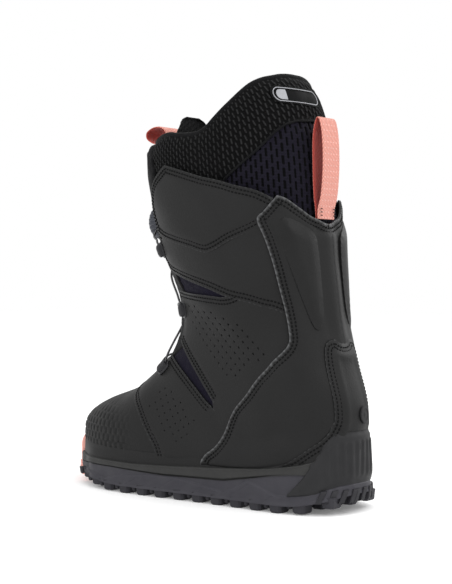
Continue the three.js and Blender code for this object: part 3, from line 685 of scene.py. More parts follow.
def webbing(name, face, shaded_inside_tone):
    """Woven tape: diagonal ribs, small pale picks in rows and painted shade on the inner face."""
    n = Nodes(name)
    x, y, z = n.split(n.field("flat", "Vector"))
    rib = n.wave(n.math("ADD", x, n.math("MULTIPLY", y, .55)), .0016)
    pick = n.math("MULTIPLY", n.span(n.wave(x, .0033), .86, .97), n.span(n.wave(y, .0040), .86, .97))
    shade = n.mix(rib, tuple(k * .6 for k in face), tuple(k * 1.12 for k in face))
    shade = n.mix(n.math("MULTIPLY", pick, .6), shade, (.86, .66, .6))
    # Painted shade: the inner face of the loop takes a darker, redder copy of the tape's colour.
    inner = n.mix(rib, tuple(k * .7 for k in shaded_inside_tone), shaded_inside_tone)
    shade = n.mix(z, shade, inner)
    n.colour(shade)
    n.set(roughness=n.span(n.noise(500), .3, .7, .7, .86), specular_ior_level=.3)
    n.set(sheen_weight=.15, sheen_roughness=.4)
    n.bump(n.math("ADD", rib, n.math("MULTIPLY", pick, .6)), .0003, .8)
    return n.material


def plastic(name, tone, rough=.38):
    """Spark-textured moulded plastic with a faint mottled tone."""
    n = Nodes(name)
    shade = n.mix(n.span(n.noise(70, 5), .4, .8, 0, .5), tone, tuple(k * 1.6 + .004 for k in tone))
    n.colour(shade)
    n.set(roughness=n.span(n.noise(260, 4), .3, .7, rough - .06, rough + .1), specular_ior_level=.25)
    n.bump(n.noise(2200, 2), .00006, .5)
    return n.material


def steel(name):
    n = Nodes(name)
    stretched = n.new("Mapping")
    n.link(n.objects(), stretched.inputs["Vector"])
    stretched.inputs["Scale"].default_value = (60, 900, 900)
    lines = n.noise(3, 3, vector=stretched.outputs[0])
    n.colour(n.mix(lines, (.42, .42, .44), (.58, .58, .6)))
    n.set(metallic=1., roughness=n.span(lines, .3, .7, .25, .42))
    n.bump(lines, .00004, .5)
    return n.material


def cable(name):
    """Coated twisted steel lace."""
    n = Nodes(name)
    x, y, _ = n.split(n.field("flat", "Vector"))
    twist = n.wave(n.math("ADD", x, n.math("MULTIPLY", y, .0009)), .0021)
    n.colour(n.mix(twist, (.012, .012, .013), (.05, .05, .053)))
    n.set(roughness=n.span(n.noise(200), .3, .7, .3, .42))
    n.bump(twist, .0002, .8)
    return n.material


def board(name):
    n = Nodes(name)
    fibre = n.noise(500, 6, .7)
    n.colour(n.mix(fibre, (.17, .15, .13), (.3, .27, .235)))
    n.set(roughness=n.span(fibre, .3, .7, .8, .95))
    n.bump(fibre, .0002, .5)
    return n.material


LEATHER = leather("coated_leather")
LEATHER_TOE = leather("toe_leather", .0062, .55)
PAD_LEATHER = leather("pad_leather", .0062, .42)
RUBBER = rubber("sole_rubber", (.027, .026, .033))
BAND = rubber("sole_band", (.024, .024, .0235), .6, gloss=.24)
WRAP = rubber("heel_rubber", (.0165, .0165, .0175), .6, gloss=.18)
PINK_RUBBER = rubber("toe_rubber", (.72, .34, .29), .6, .12)
# The last colour of each knit below is its painted highlight on raised spots.
KNIT = knit("chevron_knit", (.0015, .0015, .0016), (.021, .021, .0215))
MESH = knit("navy_mesh", (.0006, .0006, .001), (.0085, .0075, .014))
STRETCH = textile("navy_stretch", (.0065, .0055, .0125), sheen=.01)
LINING = textile("inner_lining", (.013, .013, .015), .0012, .2, .9)
BINDING = textile("rolled_binding", (.004, .004, .0045), .0007, .01, .75)
TONGUE_CLOTH = textile("tongue_cloth", (.006, .006, .0065), .0016, .01, .7)
THREAD = textile("thread", (.0025, .0025, .0027), .0005, .005, .5)
# The second colour is the painted shade of the loop's inner face.
WEBBING = webbing("pink_webbing", (.66, .28, .225), (.42, .055, .04))
PLASTIC = plastic("moulded_plastic", (.014, .014, .016))
DIAL_PLASTIC = plastic("dial_plastic", (.034, .037, .046), .3)
LABEL_DARK = rubber("label_dark", (.003, .003, .0032), .7, .1, .08)
LABEL_LIGHT = plastic("label_light", (.26, .265, .28), .5)
STEEL = steel("brushed_steel")
CABLE = cable("lace_cable")
BOARD = board("fibre_board")


def on(piece, body, slot, *nodes):
    """Finishes a piece that rides on one body."""
    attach(piece, body)
    if nodes:
        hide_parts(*nodes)
    return piece


def across_ankle(piece, slot, *nodes):
    """Finishes a piece that spans the ankle: bakes its placement into the mesh and hides the nodes it replaces.
    """
    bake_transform(piece)
    if nodes:
        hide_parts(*nodes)


# Leather upper. Outlines hold (section, angle) points on the outer side; the inner side is mirrored.
# Soft folds of the backstay at the ankle: from, to, depth and width.
CREASES = [((12.1, 30), (10.6, 62), 1.0, 9), ((11.4, 40), (9.9, 70), .7, 8)]


def soft_folds(v, degrees, surface, distance):
    """Broad shallow dents that keep a leather panel from looking machined."""
    x, y, z = (surface[..., k] / MM for k in range(3))
    wobble = .35 * np.sin(x / 13 + y / 19) * np.sin(z / 17 + y / 29)
    wobble = wobble + .18 * np.sin(z / 7.3 + y / 8.9 + x / 11)
    valley = .35 * smooth(.9, 1.8, distance) * smooth(6.8, 5.2, distance)
    return wobble * smooth(0, 9, distance) - valley


def side_view(v, degrees):
    """f and z of points of the upper, in mm."""
    points = skin(v, degrees)
    return np.stack([HEEL_Y - points[..., 1] / MM, points[..., 2] / MM], -1)


def lattice(corners, tilt=0.):
    """Staggered holes inside a polygon, in rows as seen from the side."""
    corners = np.array(corners, float)
    polygon = side_view(corners[:, 0], corners[:, 1])
    middle = polygon.mean(0)
    rows, columns = np.meshgrid(np.arange(-14, 15), np.arange(-12, 13))
    grid = np.stack([(columns + .5 * (rows % 2)) * 8., rows * 3.9], -1).reshape(-1, 2)
    cos, sin = math.cos(tilt), math.sin(tilt)
    grid = grid @ np.array([[cos, sin], [-sin, cos]]) + middle
    grid = grid[inside(grid, polygon)]
    v = np.full(len(grid), corners[:, 0].mean())
    degrees = np.full(len(grid), corners[:, 1].mean())
    for _ in range(30):
        miss = grid - side_view(v, degrees)
        a = (side_view(v + .01, degrees) - side_view(v - .01, degrees)) / .02
        b = (side_view(v, degrees + .3) - side_view(v, degrees - .3)) / .6
        det = a[:, 0] * b[:, 1] - a[:, 1] * b[:, 0]
        dv = np.clip((miss[:, 0] * b[:, 1] - miss[:, 1] * b[:, 0]) / det, -.3, .3)
        dt = np.clip((a[:, 0] * miss[:, 1] - a[:, 1] * miss[:, 0]) / det, -8, 8)
        v, degrees = v + .7 * dv, degrees + .7 * dt
    found = np.linalg.norm(grid - side_view(v, degrees), axis=1) < .3
    return np.stack([v, degrees], -1)[found & (degrees > 30) & (degrees < 150)]


# Seams that two panels share.
BACKSTAY_FRONT = [(16.15, 45), (15.98, 49), (15.78, 53.5), (15.40, 50), (14.94, 47), (14.40, 45), (13.98, 44),
                  (13.50, 45), (13.06, 49), (12.21, 68), (11.03, 85), (9.73, 87), (8.75, 66), (8.49, 51)]
FLAP_MIDDLE = [(14.42, 131), (14.40, 122), (14.46, 112), (14.56, 99), (14.61, 91), (14.83, 83), (15.18, 72),
               (15.51, 58), (15.74, 48)]
FLAP_BOTTOM = [(13.10, 141), (12.90, 137), (12.86, 132), (13.04, 121), (13.31, 105), (13.49, 93), (13.59, 82),
               (13.75, 70), (13.83, 59), (13.89, 51), (13.86, 40)]
FLAP_TOP = [(16.78, 109), (16.69, 97), (16.59, 87), (16.55, 76), (16.48, 65), (16.43, 53), (16.30, 42)]
ANKLE_TOP = [(11.75, 141), (12.0, 134), (12.79, 110), (13.24, 95), (13.56, 84), (13.85, 76), (14.1, 64),
             (14.15, 50), (14.1, 36)]
SLIT_FRONT = [(8.59, 143), (8.83, 131), (9.08, 118), (9.24, 108), (9.34, 100), (9.41, 96)]
SLIT_REAR = [(9.34, 141), (9.46, 127), (9.54, 114), (9.56, 103), (9.55, 97)]
TOE_SEAM = ([0, 30, 55, 87, 98, 113, 132, 156, 180], [7.36, 7.36, 7.38, 7.35, 7.19, 6.98, 6.62, 6.36, 6.3])
HEEL_EDGE = [(13.55, -6), (13.61, 9), (13.52, 17), (13.23, 22), (12.60, 25), (12.06, 26), (11.74, 26.5),
             (11.46, 30), (10.83, 38), (10.10, 34), (9.65, 22), (9.5, 8)]


# The raised pad beside the spine: front, tip, rear, top and corner.
PAD_OUTLINE = [
    [(15.80, 41), (15.48, 40), (15.06, 37), (14.50, 32), (13.95, 27)],
    [(13.95, 27), (13.80, 25), (13.76, 22), (13.86, 18.5)],
    [(13.86, 18.5), (14.03, 16), (14.39, 14), (15.16, 13), (15.60, 14)],
    [(15.60, 14), (15.74, 18), (15.90, 30), (15.93, 36)],
    [(15.93, 36), (15.80, 41)],
]


def toe_seam(degrees):
    around = 180 - np.abs(np.mod(degrees, 360) - 180)
    return np.interp(around, *TOE_SEAM)


def make_flaps(side, turn):
    front = [(16.78, 109), (16.55, 115), (16.15, 125), (15.5, 133), (14.9, 135), (14.42, 131)]
    upper = [FLAP_TOP, [(16.30, 42), (15.74, 48)], FLAP_MIDDLE[::-1], front[::-1]]
    lower_front = [(14.75, 133), (14.2, 136), (13.6, 139.5), (13.10, 141)]
    hidden = [(15.05, 133), (14.8, 122), (14.85, 105), (15.0, 91), (15.4, 75), (15.85, 58), (15.95, 42)]
    lower = [FLAP_BOTTOM, [(13.86, 40), (15.95, 42)], hidden[::-1], [(15.05, 133), (14.75, 133)], lower_front]
    upper_piece = panel("cuff_flap_upper_shell_" + side, turn(upper), 2.1, 1.9, LEATHER, relief=soft_folds)
    on(upper_piece, CUFF, "leather", "cuff_flap_upper_" + side)
    lower_piece = panel("cuff_flap_lower_shell_" + side, turn(lower), 1.2, 1.9, LEATHER, relief=soft_folds)
    on(lower_piece, CUFF, "leather", "cuff_flap_lower_" + side)
    for outline, top, lines in ((upper, 2.1, (FLAP_TOP, FLAP_MIDDLE, front)),
                                (lower, 1.2, (FLAP_BOTTOM, lower_front))):
        for line in lines:
            stitch("cuff", turn([line])[0], turn(outline), (2.3, 4.9), top)


def make_ankle(side, turn):
    front = [(9.34, 141), (10.1, 142), (11.0, 142.5), (11.75, 141)]
    rear = [(14.1, 36), (13.0, 41), (12.0, 60), (10.9, 79), (9.6, 81), (9.2, 83)]
    lower = [(9.2, 83), (9.36, 91), (9.45, 94.5), (9.55, 97)]
    outline = [ANKLE_TOP, rear, lower, SLIT_REAR[::-1], front]
    punched = [(11.72, 131), (12.25, 113), (12.75, 92), (12.9, 76), (12.55, 64), (10.45, 97), (11.05, 128)]
    holes = lattice(punched)
    if side == "medial":
        holes = mirror_points(holes)
    piece = panel("ankle_panel_shell_" + side, turn(outline), .9, 1.9, LEATHER, relief=soft_folds, holes=holes)
    on(piece, ROOT, "leather", "ankle_panel_" + side)
    for line in (ANKLE_TOP[:-3], SLIT_REAR):
        stitch("root", turn([line])[0], turn(outline), (2.3, 4.9), .9)


def make_vamp():
    """The vamp wraps over the instep, from the sole's edge on one side to the other."""
    edge = [(toe_seam(d), d) for d in (8, 30, 55, 80, 98, 113, 132, 150, 165, 180)]
    throat = [(8.59, 143), (8.35, 148), (8.05, 156), (7.9, 166), (7.86, 180)]
    rear = [(9.41, 96), (9.45, 92), (9.4, 86), (9.6, 78), (9.1, 60), (8.9, 40), (8.7, 8)]
    lateral = [throat[::-1], SLIT_FRONT, rear, [(8.7, 8), (7.36, 8)], edge]
    outline = [*lateral, *mirrored(lateral)]
    holes = lattice([(7.98, 125), (8.46, 118), (8.82, 92), (8.03, 70), (7.47, 113)], .25)
    holes = np.vstack([holes, mirror_points(holes)])
    piece = panel("vamp_shell", outline, .9, 1.9, LEATHER, relief=soft_folds, holes=holes)
    on(piece, ROOT, "leather", "vamp")
    for line in (edge[1:], SLIT_FRONT):
        stitch("root", line, outline, (2.3, 4.9), .9)
        stitch("root", mirrored([line])[0], outline, (2.3, 4.9), .9)


def make_backstay(side, turn):
    top = [(15.88, -.6), (15.90, 4), (15.96, 10), (16.02, 17), (16.18, 26), (16.33, 34), (16.37, 39.5)]
    corner = [(16.37, 39.5), (16.15, 45)]
    foot = [(8.49, 51), (8.40, 38), (8.34, 22), (8.3, 8)]
    lower = [(8.3, 8), (9.7, 8), (10.4, 14), (11.3, 12), (12.4, 12), (13.1, 8), (13.25, -.6)]
    spine = [(13.25, -.6), (14.6, -.6), (15.88, -.6)]
    outline = [top, corner, BACKSTAY_FRONT, foot, lower, spine]
    pad = np.vstack([trace(s, 1.2)[:-1] for s in PAD_OUTLINE])
    pad = np.vstack([pad[-1:], pad, pad[:1]])
    rings = [inward_step(pad, 1, distance)[1:-1] for distance in (-1.6, -.8, 0, .8, 1.6)]
    if side == "medial":
        rings = [mirror_points(ring) for ring in rings]

    def relief(v, degrees, surface, distance):
        lateral = np.mod(-degrees, 360) if side == "medial" else degrees
        spine_ridge = 1.1 * np.exp(-(lateral / 6.5) ** 2) * smooth(13.0, 13.8, v)
        dent = .8 * np.exp(-((lateral - 12) / 4.5) ** 2) * smooth(13.2, 13.9, v) * smooth(15.95, 15.6, v)
        fold = 0
        for (v1, d1), (v2, d2), depth, width in CREASES:
            a, b = flat(v1, d1), flat(v2, d2)
            p = flat(v, lateral)
            t = np.clip(((p - a) @ (b - a)) / np.sum((b - a) ** 2), 0, 1)
            away = np.linalg.norm(p - a - t[..., None] * (b - a), axis=-1)
            fold = fold - depth * np.exp(-(away / width) ** 2)
        seat = .9 * smooth(15.55, 15.8, v) * smooth(17, 8, lateral)
        shaped = (spine_ridge - dent + fold) * smooth(0, 5, distance)
        return soft_folds(v, degrees, surface, distance) - seat + shaped

    piece = panel("backstay_shell_" + side, turn(outline), 3.0, 2.1, LEATHER, relief=relief, dense=rings,
                  light=1., plain=(5,) if side == "lateral" else (0,))
    across_ankle(piece, "leather", "backstay_" + side, "quarter_" + side)
    for line in (corner[:-1] + BACKSTAY_FRONT, top):
        stitch("ankle", turn([line])[0], turn(outline), (2.5, 5.1), 3.0)
    make_pad(side, turn)


def make_pad(side, turn):
    def swell(v, degrees, surface, distance):
        return 1.7 * smooth(0, 9, distance)

    piece = panel("backstay_pad_shell_" + side, turn(PAD_OUTLINE), 4.2, 2.2, PAD_LEATHER, 2.0, 1.1, swell,
                  light=.5)
    across_ankle(piece, "leather", "backstay_pad_" + side)


def make_heel_stay():
    lateral = HEEL_EDGE[1:]
    bottom = [(9.5, 8), (10.0, 0), (9.5, -8)]
    medial = [(v, -d) for v, d in reversed(lateral)]
    top = [(13.61, -9), (13.53, -4), (13.52, 0), (13.53, 4), (13.61, 9)]

    def relief(v, degrees, surface, distance):
        ridge = 1.2 * np.exp(-((distance - 8.5) / 2.4) ** 2) * smooth(9.9, 10.8, v)
        groove = 1.0 * np.exp(-((v - 11.62) / .07) ** 2)
        return soft_folds(v, degrees, surface, distance) + ridge - groove

    outline = [lateral, bottom, medial, top]
    piece = panel("heel_stay_shell", outline, 4.1, 2.1, LEATHER, 2.2, relief=relief)
    on(piece, ROOT, "leather", "heel_stay")
    for line in (lateral, medial, top):
        stitch("root", line, outline, (2.3, 4.9), 4.1)


def make_toe_cap():
    """Toe cap with raised rounded cells low on its sides, fading upward."""
    columns = np.linspace(0, 360, 340, endpoint=False)
    t = np.linspace(0, 1, 130)[:, None] ** .92
    v = t * toe_seam(columns)[None, :] * 1.015
    degrees = np.broadcast_to(columns[None, :], v.shape)
    surface = skin(v, degrees)
    forward = (CAD_BOX[1].y - surface[..., 1]) / MM
    height = surface[..., 2] / MM
    wide, tall = 6.3, 5.2

    def cells(v, degrees, points, distance):
        row = np.floor(height / tall)
        px = (np.mod(forward / wide + .5 * np.mod(row, 2), 1) - .5) * wide
        py = (np.mod(height / tall, 1) - .5) * tall
        square = ((np.abs(px) / 2.9) ** 3.5 + (np.abs(py) / 2.45) ** 3.5) ** (1 / 3.5)
        low = smooth(68, 48, height + 4 * np.sin(forward / 9)) * smooth(170, 184, forward)
        return (.85 * smooth(1.02, .7, square) - .35) * low * smooth(0, 5, distance)

    piece = grid_piece("toe_cap_shell", v, degrees, .25, 1.6, LEATHER_TOE, cells, .6, True, True)
    on(piece, ROOT, "leather_toe", "toe_cap", "toe_puff")


def make_stretch():
    """The navy stretch layer under the leather, seen in the slit and below the flaps."""
    columns = np.linspace(0, 360, 200, endpoint=False)
    around = 180 - np.abs(columns - 180)
    high = np.interp(around, [0, 30, 45, 60, 109, 116, 135, 180],
                     [15.8, 16.1, 16.25, 16.4, 16.7, 16.45, 15.8, 15.6])
    t = np.linspace(0, 1, 110)[:, None]
    v = 6.8 + (high[None, :] - 6.8) * t
    degrees = np.broadcast_to(columns[None, :], v.shape)

    def dip(v, degrees, surface, distance):
        off_centre = np.abs(degrees - 180)
        width = np.interp(v, [7.5, 8.6, 9.4, 11, 13, 15, 17], [4, 34, 38, 38, 38, 44, 52])
        folds = .25 * np.sin(v * 21) * smooth(2.0, 1.0, np.abs(v - 12.2))
        return -1.9 * smooth(width + 4, width - 3, off_centre) + folds

    piece = grid_piece("stretch_lining", v, degrees, -1.2, 1.1, STRETCH, dip, .4, True)
    across_ankle(piece, "stretch_navy", "shell_lining", "cuff_lining", "flex_gaiter")


def half_angle(v, width):
    """Angle off the front line where the upper is this far from its middle, in mm."""
    sweep = np.linspace(90, 180, 181)
    x = skin(v, sweep)[:, 0] / MM - CENTRE_X
    return 180 - np.interp(-width, -x, sweep)


def front_grid(rows, stations, half_widths, columns):
    """Angles of a tongue over the front line, from its half widths in mm, and the share across."""
    widths = np.interp(rows, stations, half_widths)
    angles = np.array([half_angle(v, w) for v, w in zip(rows, widths)])
    across = np.linspace(-1, 1, columns)[None, :]
    return 180 - angles[:, None] * across, across


def make_tongue():
    """Padded tongue with ribs over the instep and a rolled top."""
    rows = np.linspace(7.7, 17.45, 150)
    stations = [7.7, 8.6, 9.6, 11, 13, 15, 16.6, 17.2, 17.45]
    degrees, t = front_grid(rows, stations, [15, 24, 29, 31, 35, 41, 46, 43, 36], 110)
    v = rows[:, None] - .28 * np.abs(t) ** 3 * smooth(16, 17.4, rows)[:, None]

    def ribs(v, degrees, surface, distance):
        across = np.abs(t)
        flex = .4 * (np.sin(v * 15) > 0) * smooth(.75, .55, across)
        flex = flex * smooth(8.5, 9.3, v) * smooth(13.2, 12.4, v)
        shield = .5 * smooth(.72, .62, across) * smooth(13.2, 13.6, v) * smooth(16.7, 16.3, v)
        padding = 1.3 * smooth(0, 7, distance) * smooth(15.5, 16.8, v)
        groove = -.5 * np.exp(-((across - .78) / .03) ** 2)
        fill = .8 * smooth(.3, .5, across) * smooth(9.3, 9.9, v) * smooth(13.6, 13.0, v)
        return flex + shield + padding + groove + fill

    piece = grid_piece("tongue_pad", v, degrees, -.35, 2.6, TONGUE_CLOTH, ribs, 1.2)
    across_ankle(piece, "stretch_navy", "tongue", "tongue_base")
    sides = slice(96, None)
    line_v = np.concatenate([v[sides, 0], v[-1, 1:-1], v[sides, -1][::-1]])
    line_d = np.concatenate([degrees[sides, 0], degrees[-1, 1:-1], degrees[sides, -1][::-1]])
    bound_edge("tongue_binding", line_v, line_d, -2.2, 2.1, "stretch_navy", 11.)


# Liner.
# The collar's top line and its seam with the mesh panel, as (angle from the back, section).
TOP_LINE = spline([(0, 19.5), (7, 19.5), (16, 19.47), (23, 19.42), (37, 19.3), (50, 19.06), (67, 18.5),
                   (79, 18.06), (83, 17.91), (92, 17.7), (104, 17.67), (116, 17.7), (135, 17.54), (146, 17.44),
                   (174, 17.35)])
SEAM_LINE = np.array([(0, 18.21), (17, 18.15), (26, 18.04), (35, 17.84), (47, 17.45), (62, 16.98), (73, 16.59),
                      (82, 15.9), (174, 15.6)])


def liner_top(degrees):
    return np.interp(np.abs(degrees), TOP_LINE[:, 0], TOP_LINE[:, 1])


def liner_seam(degrees):
    return np.interp(np.abs(degrees), SEAM_LINE[:, 0], SEAM_LINE[:, 1])


def relief_field(piece, values):
    """Stores how high the knit stands, on the outer face, for its material, which paints highlight on the high
    spots and shade on the low ones.
    """
    attribute = piece.data.attributes.new("relief", "FLOAT", "POINT")
    full = np.ones(len(piece.data.vertices), np.float32)
    full[:values.size] = values.ravel()
    attribute.data.foreach_set("value", full)


def staggered(plan, wide, tall):
    """Where points lie in a lattice of cells, every second column half a cell up: x, y and if it is odd."""
    odd = np.mod(np.floor(plan[..., 0] / wide), 2)
    px = (np.mod(plan[..., 0] / wide, 1) - .5) * wide
    py = (np.mod(plan[..., 1] / tall + .5 * odd, 1) - .5) * tall
    return px, py, odd


def chevrons(plan):
    """Slanted dashes of the knit, alternating column by column, 0 to 1."""
    px, py, odd = staggered(plan, 3.9, 5.0)
    slant = np.where(odd > .5, .5, .16)
    return smooth(1.35, .3, np.abs(px - slant * py)) * smooth(2.5, 1.3, np.abs(py))


def make_collar():
    """Upper liner in chevron knit: zigzag ridges broken into scales."""
    columns = np.linspace(-173, 173, 560)
    t = np.linspace(0, 1, 120)[:, None]
    low, high = liner_seam(columns)[None, :], liner_top(columns)[None, :]
    v = low + (high - low) * t
    degrees = np.broadcast_to(columns[None, :], v.shape)
    pattern = chevrons(flat(v, degrees))

    def knitted(v, degrees, surface, distance):
        puff = 1.5 * smooth(0, 12, distance) + .5 * np.sin(degrees / 9) * smooth(4, 16, distance)
        return puff + .9 * pattern * smooth(1.5, 4, distance)

    piece = grid_piece("liner_collar_pad", v, degrees, -5.0, 2.6, KNIT, knitted, 1.2)
    relief_field(piece, pattern)
    on(piece, CUFF, "knit", "liner_collar")


def make_mesh_panel():
    """Rear liner panel of spacer mesh with upright slots."""
    columns = np.linspace(-84, 84, 260)
    low, high = 15.0, liner_seam(columns)[None, :] + .03
    t = np.linspace(0, 1, 120)[:, None]
    v = low + (high - low) * t
    degrees = np.broadcast_to(columns[None, :], v.shape)
    plan = flat(v, degrees)
    px, py, _ = staggered(plan, 4.1, 7.6)
    hole = smooth(.95, .45, np.abs(px)) * smooth(2.9, 2.3, np.abs(py))
    ribs = .5 + .5 * np.cos(2 * np.pi * plan[..., 1] / 1.9)
    # Painted light and shade: the raised mesh takes the lighter colour, the slots and rib grooves stay dark.
    pattern = np.clip(1 - hole - .25 * ribs * (1 - hole), 0, 1)

    def slots(v, degrees, surface, distance):
        return (.9 * smooth(0, 10, distance) - .9 * hole - .12 * ribs) * smooth(0, 2, distance)

    piece = grid_piece("liner_mesh_shell", v, degrees, -5.3, 2.2, MESH, slots)
    relief_field(piece, pattern)
    on(piece, CUFF, "mesh_navy", "liner_mesh_panel")


def make_liner_body():
    """Foam body of the liner, split in front, with its inner lining."""
    columns = np.linspace(-186, 174, 300, endpoint=False)
    centre = np.abs(np.mod(columns, 360) - 180)
    split_foot = 13.3
    high = split_foot + (liner_top(180 - centre) - .03 - split_foot) * smooth(4, 8, centre)
    t = np.linspace(0, 1, 170)[:, None]
    v = 1.0 + (high[None, :] - 1.0) * t
    degrees = np.broadcast_to(columns[None, :], v.shape)

    def quilt(v, degrees, surface, distance):
        return .3 * np.sin(v * 7) * np.sin(degrees / 11) * smooth(2, 10, distance)

    piece = grid_piece("liner_body", v, degrees, -6.9, 3.4, LINING, quilt, 1.4, True, True)
    across_ankle(piece, "knit", "liner_foot", "liner_cuff")


def bound_edge(name, v, degrees, offset, radius, slot="knit", gap=0.):
    """A rolled binding on the cuff, slimmer within a gap in mm of the middle."""
    line = resample(np.stack([v, degrees], -1), skin(v, degrees, offset), 1.2 * MM)
    positions = skin(line[:, 0], line[:, 1], offset)
    middle = np.abs(positions[:, 0] / MM - CENTRE_X)
    sizes = radius * MM * (1 - .65 * smooth(gap + 4, gap, middle) * (gap > 0))
    vertices, faces = tube(positions, sizes)
    on(mesh_piece(name, vertices, faces, BINDING), CUFF, slot)


def make_bindings():
    sweep = np.linspace(-173.5, 173.5, 500)
    bound_edge("collar_binding", liner_top(sweep) + .02, sweep, -7.0, 2.1)
    seam = np.linspace(-80, 80, 300)
    bound_edge("mesh_seam_piping", liner_seam(seam), seam, -4.6, .9)
    for side, sign in (("lateral", 1), ("medial", -1)):
        v = np.linspace(14.2, 17.42, 90)
        bound_edge("liner_split_binding_" + side, v, np.full_like(v, sign * 173.5), -7.2, 1.8)


def make_liner_tongue():
    """Padded liner tongue behind the split, with a rounded top."""
    rows = np.linspace(12.6, 18.5, 130)
    stations = [12.6, 14, 16, 17.4, 17.9, 18.2, 18.4, 18.5]
    degrees, _ = front_grid(rows, stations, [26, 29, 33, 32, 30, 26, 20, 12], 90)
    v = np.broadcast_to(rows[:, None], degrees.shape)
    pattern = chevrons(flat(v, degrees))

    def pad(v, degrees, surface, distance):
        return 1.2 * smooth(0, 8, distance) + .8 * pattern * smooth(1, 3, distance) - 9 * smooth(17.0, 18.3, v)

    piece = grid_piece("liner_tongue_pad", v, degrees, -12.6, 3.2, KNIT, pad, 1.5)
    relief_field(piece, pattern)
    on(piece, CUFF, "knit", "liner_tongue")


def pill(half_length, half_height, centre, count=64):
    """A stadium outline on the upper, in (section, angle)."""
    a = 2 * math.pi * np.arange(count) / count
    x = half_height * np.cos(a) + np.copysign(half_length - half_height, np.cos(a))
    outline = np.stack(unflat(np.stack([x, half_height * np.sin(a)], -1) + flat(*centre)), -1)
    return np.vstack([outline, outline[:1]])


def make_label():
    """Soft moulded label with a pale outline and a plain grey end."""
    centre = (18.95, 10.0)
    piece = panel("label_plate", [pill(21, 6.4, centre)], -1.9, 2.2, LABEL_DARK, 1.6, .8)
    on(piece, CUFF, "label", "liner_label")
    ring = pill(19.2, 4.8, centre)
    ring = resample(ring, skin(ring[:, 0], ring[:, 1]), .8 * MM)
    vertices, faces = tube(skin(ring[:, 0], ring[:, 1], -1.75), .33 * MM, 8, False)
    on(mesh_piece("label_outline", vertices, faces, LABEL_LIGHT), CUFF, "label")
    radius, round_x, straight_x = 3.6, 13.4, 9.4
    a = math.pi / 2 - math.pi * np.arange(25) / 24
    arc = np.stack([round_x + radius * np.cos(a), radius * np.sin(a)], -1)
    end = np.vstack([arc, (straight_x, -radius), (straight_x, radius), arc[:1]])
    shape = np.stack(unflat(end + flat(*centre)), -1)
    outline = [shape[:25], shape[24:26], shape[25:27], shape[26:]]
    on(panel("label_end", outline, -1.45, .8, LABEL_LIGHT, 1.4, .3), CUFF, "label")


# Sole.
SOLE_PLAN = [(0, 9, 9), (4, 19, 19), (15, 32, 32), (40, 39, 38), (80, 40, 37), (120, 41, 38), (152, 43, 43),
             (190, 43, 51), (218, 38, 56), (239, 28, 55), (254, 14, 49), (262, 1, 42), (266, -13, 31)]
LUG_START, LUG_DEPTH, LUG_PITCH, LUG_LENGTH = 9, 5., 17., 10.
TOE_PIECE_START = 240.
# Heights along the sole, as all f and then all z: where leather meets the sole, the crease under the grey
# band, and the mountain line of the lower wall.
FEATHER = ([0, 4, 8, 12, 15, 25, 40, 55, 70, 90,
            110, 130, 150, 170, 205, 220, 240, 250, 258, 266],
           [54.5, 54.5, 50, 41, 36, 33.5, 31, 29, 28, 26.7,
            25.4, 24.2, 23.4, 22.7, 22.9, 23.2, 23, 23, 23.5, 24])
CREASE = ([0, 32, 50, 69, 87, 105, 141, 161, 192, 220, 240, 266],
          [28, 26.5, 24, 20.6, 17.6, 17.1, 16.4, 17, 18, 17.8, 17, 18])
RIDGE = ([0, 20, 42, 66, 87, 103, 130, 155, 180, 200, 215, 240, 266],
         [20, 14, 11.4, 20, 9.8, 11.7, 16, 15.8, 13.4, 8.5, 11, 15, 18])


def spring(f):
    """How far the sole's underside lifts off the ground at the toe and heel."""
    return 16 * (np.maximum(f - 180, 0) / 90) ** 2 + 8 * (np.maximum(40 - f, 0) / 40) ** 2


def sole_outline(step=1.0):
    """Plan of the sole as x, f and outward normals, from the heel along the outer side and back."""
    plan = spline(SOLE_PLAN, 16)
    outer = np.stack([plan[:, 1], plan[:, 0]], -1)
    inner = np.stack([-plan[::-1, 2], plan[::-1, 0]], -1)
    loop = np.vstack([outer, inner, outer[:1]])
    keep = np.concatenate([[True], np.linalg.norm(np.diff(loop, axis=0), axis=1) > 1e-6])
    loop = resample(loop[keep], loop[keep], step)[:-1]
    for _ in range(6):
        loop = (np.roll(loop, 1, 0) + 2 * loop + np.roll(loop, -1, 0)) / 4
    tangent = unit(np.roll(loop, -1, 0) - np.roll(loop, 1, 0))
    normal = np.stack([tangent[:, 1], -tangent[:, 0]], -1)
    return loop, normal


def sole_edge(f, side):
    """x of the sole's outer (side 1) or inner (side -1) edge."""
    row = spline(SOLE_PLAN, 16)
    return np.interp(f, row[:, 0], row[:, 1]) if side > 0 else -np.interp(f, row[:, 0], row[:, 2])


UPPER_TREES = {}


def upper_near(points, offset):
    """Nearest points of the upper at an outward offset, for x, f, z in mm."""
    if offset not in UPPER_TREES:
        v, degrees = np.meshgrid(np.linspace(.05, 12.6, 420), np.linspace(-180, 180, 540))
        cloud = skin(v.ravel(), degrees.ravel(), offset)
        UPPER_TREES[offset] = (tree_of(cloud), cloud)
    tree, cloud = UPPER_TREES[offset]
    targets = place(points[:, 0], points[:, 1], points[:, 2])
    found = np.array([cloud[tree.find(p)[1]] for p in targets])
    return np.stack([found[:, 0] / MM - CENTRE_X, HEEL_Y - found[:, 1] / MM, found[:, 2] / MM], -1)


def smoothed(values, times):
    for _ in range(times):
        values = (np.roll(values, 1, 0) + 2 * values + np.roll(values, -1, 0)) / 4
    return values


def heel_lean(loop, z):
    """How the heel cup leans in from the sole's outline to meet the upper, at each height."""
    top = np.interp(loop[:, 1], *FEATHER)
    near = upper_near(np.stack([loop[:, 0], loop[:, 1], top], -1), 4.2)
    shift = (near[:, :2] - loop) * smooth(40, 16, loop[:, 1])[:, None]
    share = np.clip(smooth(14, 56, z) / np.maximum(smooth(14, 56, top), .05), 0, 1)
    return shift[:, 0] * share, shift[:, 1] * share


